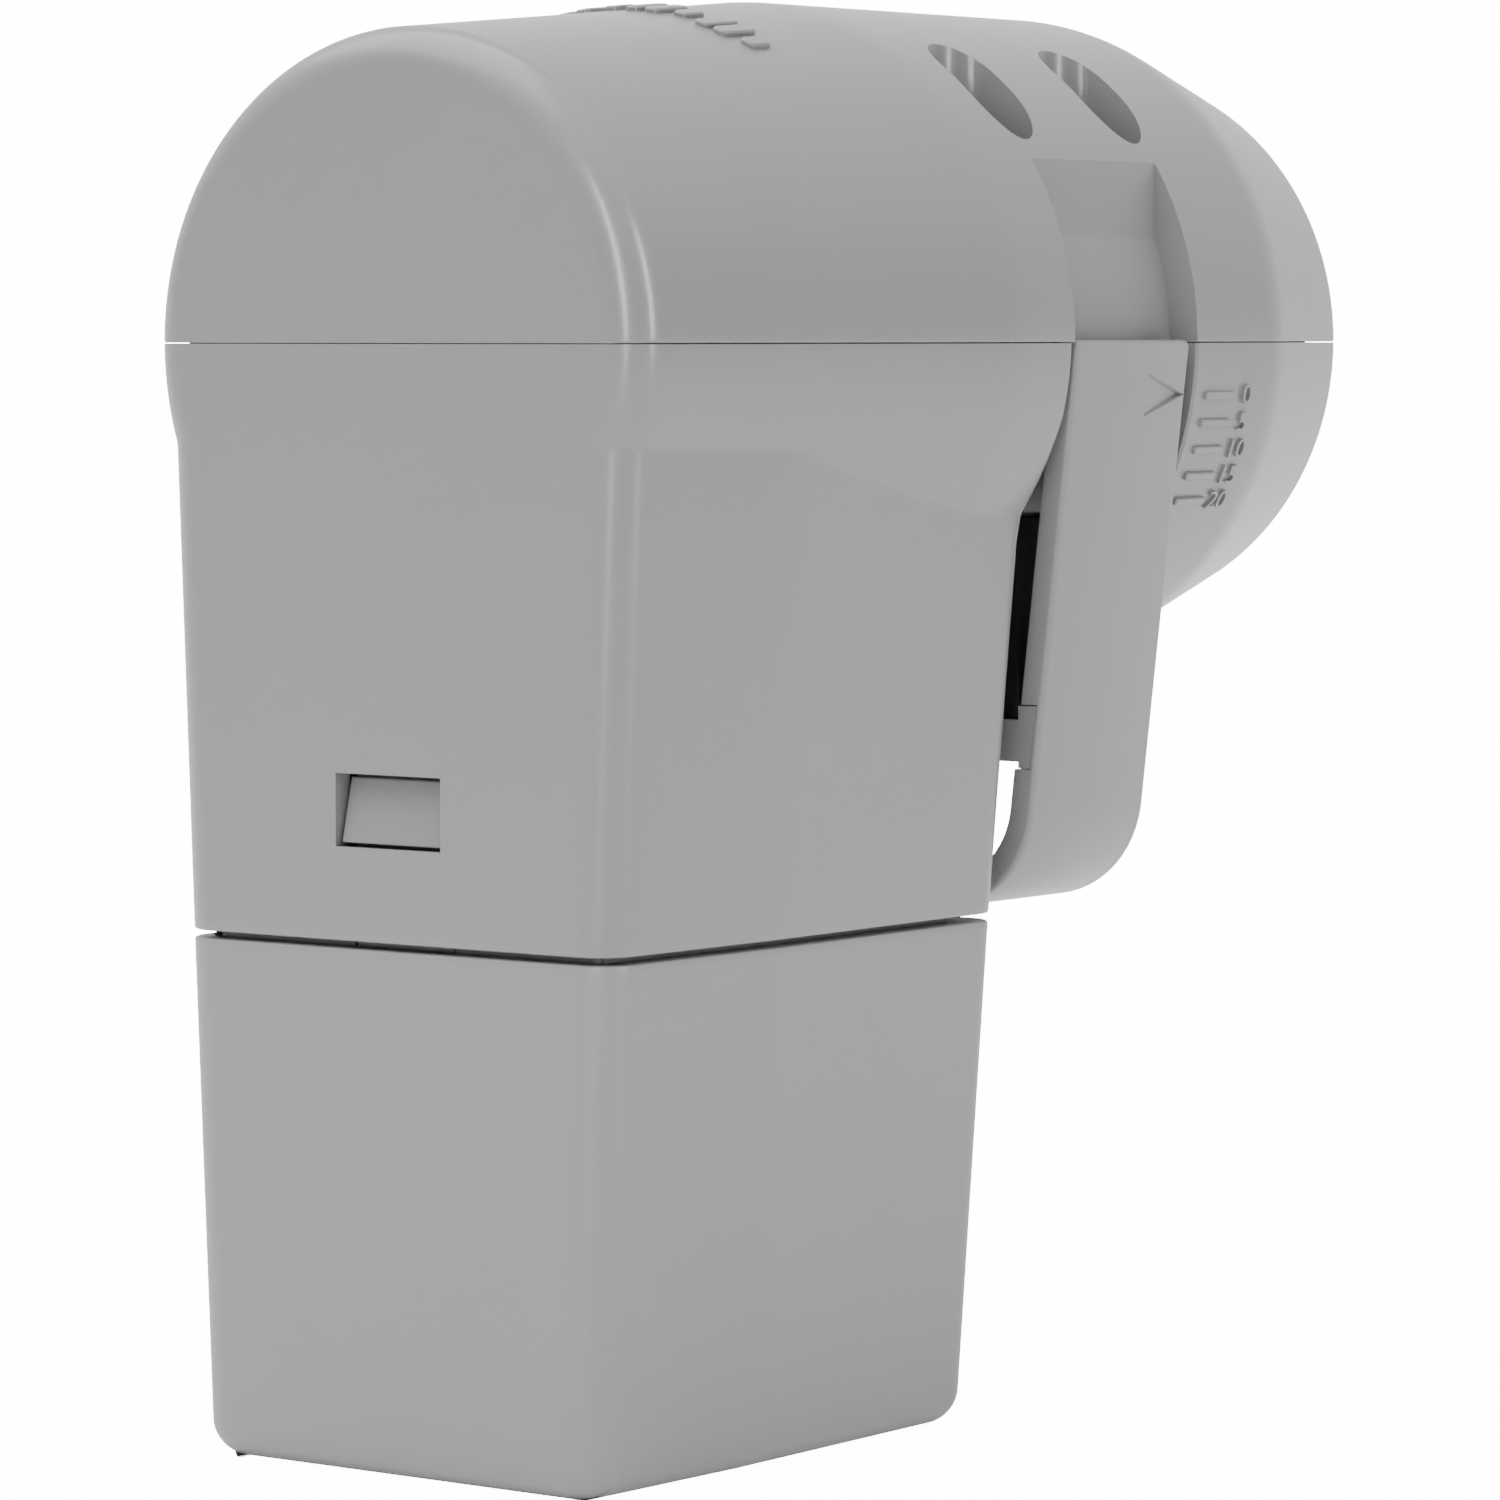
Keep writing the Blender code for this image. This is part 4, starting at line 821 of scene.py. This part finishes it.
def buildConnectors():
    # barrel: radius = crest - depth * |triangle wave of (z / pitch - angle / turn)|
    print("connectors")
    for number in range(1, 5):
        node = "f_connector_%d" % number
        low, high = boxMm(node)
        x, y = 0.5 * (low[0] + high[0]), 0.5 * (low[1] + high[1])
        hexTop = high[2] - 2.8
        hexLow = hexTop - 3.5
        count, steps = 48, int((hexLow - low[2]) / port["pitch"] * 8)
        z = np.linspace(low[2] + 0.4, hexLow - 0.3, steps)[:, None]
        angle = (np.arange(count) / count)[None, :]
        wave = np.abs(((z / port["pitch"] - angle) % 1.0) * 2 - 1)
        fade = np.clip(np.minimum(z - z[0], z[-1] - z) / 0.5, 0, 1)
        radius = port["radius"] - port["depth"] * wave * fade
        turn = angle * 2 * np.pi
        ring = np.stack([x + radius * np.cos(turn), y + radius * np.sin(turn), z + 0 * angle], -1)

        def plain(r, level_):
            a = np.arange(count) / count * 2 * np.pi
            return np.stack([x + r * np.cos(a), y + r * np.sin(a), np.full(count, level_)], -1)
        rows = [plain(port["bore"], low[2] + 0.25), plain(port["bore"] + 0.25, low[2]),
                plain(port["radius"] - 0.5, low[2]), plain(port["radius"] - 0.1, low[2] + 0.35)]
        rows += list(ring) + [plain(port["radius"], hexLow - 0.2), plain(port["radius"], high[2]),
                              plain(port["bore"], high[2])]
        barrel = skinRing("fConnector%d" % number, rows)
        nut = extrude("nut", arcPoints(x, y, 6.3, 0, 300, 5), "z", hexLow, hexTop)
        nutRound = turnZ("nutRound", [(hexLow, 0), (hexLow, 5.3), (hexLow + 0.6, 6.35),
                                      (hexTop, 6.35), (hexTop, 0)], x, y)
        carve(nut, [nutRound], "INTERSECT")
        carve(nut, [upright("nutBore", x, y, hexLow - 2, hexTop + 2, port["radius"] - 0.3)])
        carve(barrel, [nut], "UNION")
        settle(barrel, "housing", nickelPlate, [node])
        inLow, inHigh = boxMm("connector_insulator_%d" % number)
        sleeve = turnZ("insulator%d" % number, [(inLow[2], 0.9), (inLow[2], 2.5), (inLow[2] + 0.5, 3.0),
                                                (inHigh[2], 3.0), (inHigh[2], 0.9)], x, y)
        settle(sleeve, "housing", insulatorWhite, ["connector_insulator_%d" % number])
        pinLow, pinHigh = boxMm("connector_contact_%d" % number)
        pin = turnZ("contact%d" % number, [(pinLow[2], 0), (pinLow[2] + 0.25, 0.45), (pinLow[2] + 0.6, 0.6),
                                           (pinHigh[2], 0.6), (pinHigh[2], 0)], x, y, 24)
        settle(pin, "housing", contactBrass, ["connector_contact_%d" % number])


dial = dict(start=100.5, end=106.7, thick=0.95, first=9.1, pitch=4.8, digits=109.3, size=4.1)


def wrapOnNose(flat, side, radius):
    # (u, v, w): u forward along x, v up the side, w out from the surface; v becomes an arc on the nose
    u, v, w = flat.T
    angle = v / radius
    r = radius + w
    return np.stack([u, side * r * np.cos(angle), r * np.sin(angle)], 1)


def raisedBar(name, x0, x1, width, side, degrees, radius, height=0.5):
    # a round-cornered plate with a drawn-in top, laid on the nose at an angle below the seam
    half = width / 2
    outline = roundCorners([(x0, -half), (x1, -half), (x1, half), (x0, half)], [width * 0.3] * 4, 4)
    loops = []
    for w, inset in ((-0.4, 0.0), (height - 0.15, 0.02), (height, 0.16)):
        flat = insetOutline(outline, inset)
        v = flat[:, 1] - math.radians(degrees) * radius
        loops.append(wrapOnNose(np.column_stack([flat[:, 0], v, np.full(len(flat), w)]), side, radius))
    return skinLoops(name, loops)


def digitText(text, x, side, degrees, radius, size, height):
    # a number read along +x on the -y side and mirrored in place on the other, raised from the nose
    curve = bpy.data.curves.new("digits", "FONT")
    curve.body = text
    curve.size = size
    curve.align_x = "CENTER"
    curve.align_y = "CENTER"
    curve.extrude = 0.5
    curve.resolution_u = 4
    holder = bpy.data.objects.new("digits", curve)
    bpy.context.scene.collection.objects.link(holder)
    graph = bpy.context.evaluated_depsgraph_get()
    graph.update()
    mesh = bpy.data.meshes.new_from_object(holder.evaluated_get(graph))
    bpy.data.objects.remove(holder, do_unlink=True)
    points = np.empty(len(mesh.vertices) * 3)
    mesh.vertices.foreach_get("co", points)
    points = points.reshape(-1, 3)
    across = points[:, 0] * (-side)
    flat = np.column_stack([x + across, points[:, 1] * 0.78 - math.radians(degrees) * radius,
                            np.where(points[:, 2] > 0, height, -0.4)])
    mesh.vertices.foreach_set("co", toWorld(wrapOnNose(flat, side, radius)).ravel())
    mesh.update()
    obj = bpy.data.objects.new("digits", mesh)
    bpy.context.scene.collection.objects.link(obj)
    return tidyMesh(obj)


def buildDial():
    print("skew scale")
    parts = []
    rim = drum["rimRadius"]
    for side in (-1, 1):
        for index in range(5):
            degrees = dial["first"] + dial["pitch"] * index
            parts.append(raisedBar("tick", dial["start"], dial["end"], dial["thick"], side, degrees, rim))
            parts.append(digitText(str(5 * index), dial["digits"], side, degrees, rim, dial["size"], 0.45))
    scale = joined("skewScale", parts)
    return settle(scale, "housing", housingGrey)


mark = dict(x=42.0, width=6.0, height=0.6, angles=(62, 67, 71, 77, 82, 86, 92, 97, 101, 107, 112, 117))


def buildTopMark():
    # a plain row of raised bars across the crown, each bar a plate wrapped round the drum
    print("raised mark")
    parts = []
    for index, degrees in enumerate(mark["angles"]):
        length = mark["width"] * (1.0 if index % 3 else 0.62)
        radius = float(drumRadius(mark["x"]))
        half = length / 2
        outline = roundCorners([(-half, -1.0), (half, -1.0), (half, 1.0), (-half, 1.0)], [0.7] * 4, 5)
        loops = []
        for w, inset in ((-0.5, 0.0), (mark["height"] - 0.2, 0.03), (mark["height"], 0.22)):
            flat = insetOutline(outline, inset)
            x = mark["x"] + flat[:, 0]
            r = drumRadius(x) + w
            t = math.radians(degrees) + flat[:, 1] / radius
            loops.append(np.stack([x, -r * np.cos(t), r * np.sin(t)], 1))
        parts.append(skinLoops("bar", loops))
    piece = joined("topMark", parts)
    return settle(piece, "housing", housingGrey)


def dressNodes():
    # the inner pieces keep their own shapes and get finished materials
    finishes = {
        castMetal: ["feed_horn", "lnb_case", "case_lid"], sealRubber: ["cap_seal", "case_gasket"],
        clampBlackAndPaintedShade: ["neck_ring_cap"], solderMask: ["circuit_board"], nickelPlate: ["shield_can"],
        contactBrass: ["probe_pin_1", "probe_pin_2"],
        zincSteel: ["neck_ring_screw_1", "neck_ring_screw_2", "bar_screw_1", "bar_screw_2"]}
    finishes[sealRubber] += ["case_pad_%d" % i for i in range(1, 5)]
    finishes[zincSteel] += ["case_lid_screw_%d" % i for i in range(1, 5)]
    for mat, names in finishes.items():
        for name in names:
            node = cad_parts[name]
            node.data.materials.clear()
            node.data.materials.append(mat)


# Stage, light and camera
# the sheet, in metres
sheet = dict(halfWidth=4.0, front=-2.5, wallAt=1.6, wallHeight=3.0, curve=0.9,
             glow=0.25, white=14.0, pale=0.85)
view = dict(distance=0.7181, azimuth=36.86, elevation=4.107, lens=154.8, target=(50.0, 0.0, -50.0),
            shiftX=0.0515, shiftY=0.0286)
# lights: turns are degrees from the camera's side, lengths are metres, powers are watts
studio = dict(worldSide=0.25, worldFront=0.22, worldTop=1.9, topUp=1.1, topBack=0.1, topLeft=0.48,
              topSize=1.3, topPower=18.0, leftTurn=-12.8, rightTurn=56.0, stripPower=11.0,
              stripAway=1.15, stripFoot=0.10, stripTall=0.8, stripWide=0.05)


def headings():
    # level directions away from the camera and to its right
    a = math.radians(view["azimuth"])
    return np.array([math.cos(a), math.sin(a), 0]), np.array([math.sin(a), -math.cos(a), 0])


def buildStage():
    # a pale sheet that lies flat, then curves up behind: profile (along, up) carried sideways.
    # it glows far more towards the camera than onto the object, so the background reads white
    forward, right = headings()
    bend = arcPoints(sheet["wallAt"] - sheet["curve"], sheet["curve"], sheet["curve"], -90, 0, 24)
    profile = np.concatenate([[(sheet["front"], 0.0)], bend, [(sheet["wallAt"], sheet["wallHeight"])]])
    side = np.linspace(-sheet["halfWidth"], sheet["halfWidth"], 3)
    grid = (forward[None, None] * profile[:, None, :1] + np.array([0, 0, 1.0]) * profile[:, None, 1:]
            + right[None, None] * side[None, :, None])
    rows, columns = grid.shape[:2]
    i, j = np.arange(rows - 1)[:, None], np.arange(columns - 1)[None, :]
    corner = i * columns + j
    faces = np.stack([corner, corner + 1, corner + columns + 1, corner + columns], -1)
    mesh = bpy.data.meshes.new("sweep")
    mesh.from_pydata(grid.reshape(-1, 3).tolist(), [], faces.reshape(-1, 4).tolist())
    mesh.shade_smooth()
    sweep = bpy.data.objects.new("sweep", mesh)
    bpy.context.scene.collection.objects.link(sweep)
    mat, nodes, links = newMaterial("paleSweep")
    shader = nodes["Principled BSDF"]
    pale = sheet["pale"]
    shader.inputs["Base Color"].default_value = (pale, pale, pale, 1)
    shader.inputs["Roughness"].default_value = 0.9
    shader.inputs["Emission Color"].default_value = (1, 1, 1, 1)
    rays = nodes.new("ShaderNodeLightPath")
    glow = nodes.new("ShaderNodeMapRange")
    glow.inputs["To Min"].default_value = sheet["glow"]
    glow.inputs["To Max"].default_value = sheet["white"]
    links.new(rays.outputs["Is Camera Ray"], glow.inputs["Value"])
    links.new(glow.outputs["Result"], shader.inputs["Emission Strength"])
    mesh.materials.append(mat)


def areaLight(name, place, target, width, height, power):
    data = bpy.data.lights.new(name, "AREA")
    data.shape = "RECTANGLE"
    data.size, data.size_y, data.energy = width, height, power
    lamp = bpy.data.objects.new(name, data)
    lamp.location = place
    lamp.rotation_euler = (Vector(target) - Vector(place)).to_track_quat("-Z", "Y").to_euler()
    bpy.context.scene.collection.objects.link(lamp)
    return lamp


def buildWorld(toViewer):
    # bright overhead and dim low down, a little dimmer on the camera's side than round the sides
    world = bpy.data.worlds.new("studioWorld")
    world.use_nodes = True
    nodes, links = world.node_tree.nodes, world.node_tree.links
    background = nodes["Background"]
    background.inputs["Color"].default_value = (1, 1, 1, 1)
    place = nodes.new("ShaderNodeTexCoord")
    facing = nodes.new("ShaderNodeVectorMath")
    facing.operation = "DOT_PRODUCT"
    facing.inputs[1].default_value = toViewer
    links.new(place.outputs["Generated"], facing.inputs[0])
    dim = nodes.new("ShaderNodeMapRange")
    dim.interpolation_type = "SMOOTHSTEP"
    dim.inputs["From Min"].default_value = 0.35
    dim.inputs["From Max"].default_value = 0.97
    dim.inputs["To Min"].default_value = studio["worldSide"]
    dim.inputs["To Max"].default_value = studio["worldFront"]
    links.new(facing.outputs["Value"], dim.inputs["Value"])
    split = nodes.new("ShaderNodeSeparateXYZ")
    links.new(place.outputs["Generated"], split.inputs[0])
    overhead = nodes.new("ShaderNodeMapRange")
    overhead.interpolation_type = "SMOOTHSTEP"
    overhead.inputs["From Min"].default_value = 0.05
    overhead.inputs["From Max"].default_value = 0.95
    overhead.inputs["To Max"].default_value = studio["worldTop"]
    links.new(split.outputs["Z"], overhead.inputs["Value"])
    total = nodes.new("ShaderNodeMath")
    links.new(dim.outputs["Result"], total.inputs[0])
    links.new(overhead.outputs["Result"], total.inputs[1])
    links.new(total.outputs[0], background.inputs["Strength"])
    bpy.context.scene.world = world


def buildLights():
    forward, right = headings()
    up = np.array([0, 0, 1.0])
    buildWorld(tuple(-forward))
    centre = np.array([0, 0, 0.08])
    above = centre + up * studio["topUp"] + forward * studio["topBack"] - right * studio["topLeft"]
    areaLight("topSoft", above, centre, studio["topSize"], studio["topSize"], studio["topPower"])
    # two upright strips draw the bright lines on the rounded corners; they add no diffuse light
    for name, turnTo in (("leftStrip", studio["leftTurn"]), ("rightStrip", studio["rightTurn"])):
        t = math.radians(turnTo)
        aim = -forward * math.cos(t) + right * math.sin(t)
        place = aim * studio["stripAway"] + up * (studio["stripFoot"] + studio["stripTall"] / 2)
        strip = areaLight(name, place, place - aim, studio["stripWide"], studio["stripTall"],
                          studio["stripPower"])
        strip.visible_diffuse = False


def buildCamera():
    a, e = math.radians(view["azimuth"]), math.radians(view["elevation"])
    look = np.array([math.cos(a) * math.cos(e), math.sin(a) * math.cos(e), -math.sin(e)])
    target = toWorld(view["target"])
    data = bpy.data.cameras.new("camera")
    data.sensor_width = 36.0
    data.lens = view["lens"]
    data.shift_x, data.shift_y = view["shiftX"], view["shiftY"]
    data.clip_start = 0.01
    camera = bpy.data.objects.new("camera", data)
    camera.location = target - look * view["distance"]
    camera.rotation_euler = Vector(look).to_track_quat("-Z", "Y").to_euler()
    bpy.context.scene.collection.objects.link(camera)
    bpy.context.scene.camera = camera


buildStage()
buildLights()
buildCamera()
buildUpperShell()
buildLowerShell()
buildSeamLip()
buildWeatherCover()
buildYoke()
buildCrossBar()
buildNeckClamp()
buildLatchTongue()
buildRadomeCap()
buildHousingScrews()
buildConnectors()
buildDial()
buildTopMark()
dressNodes()
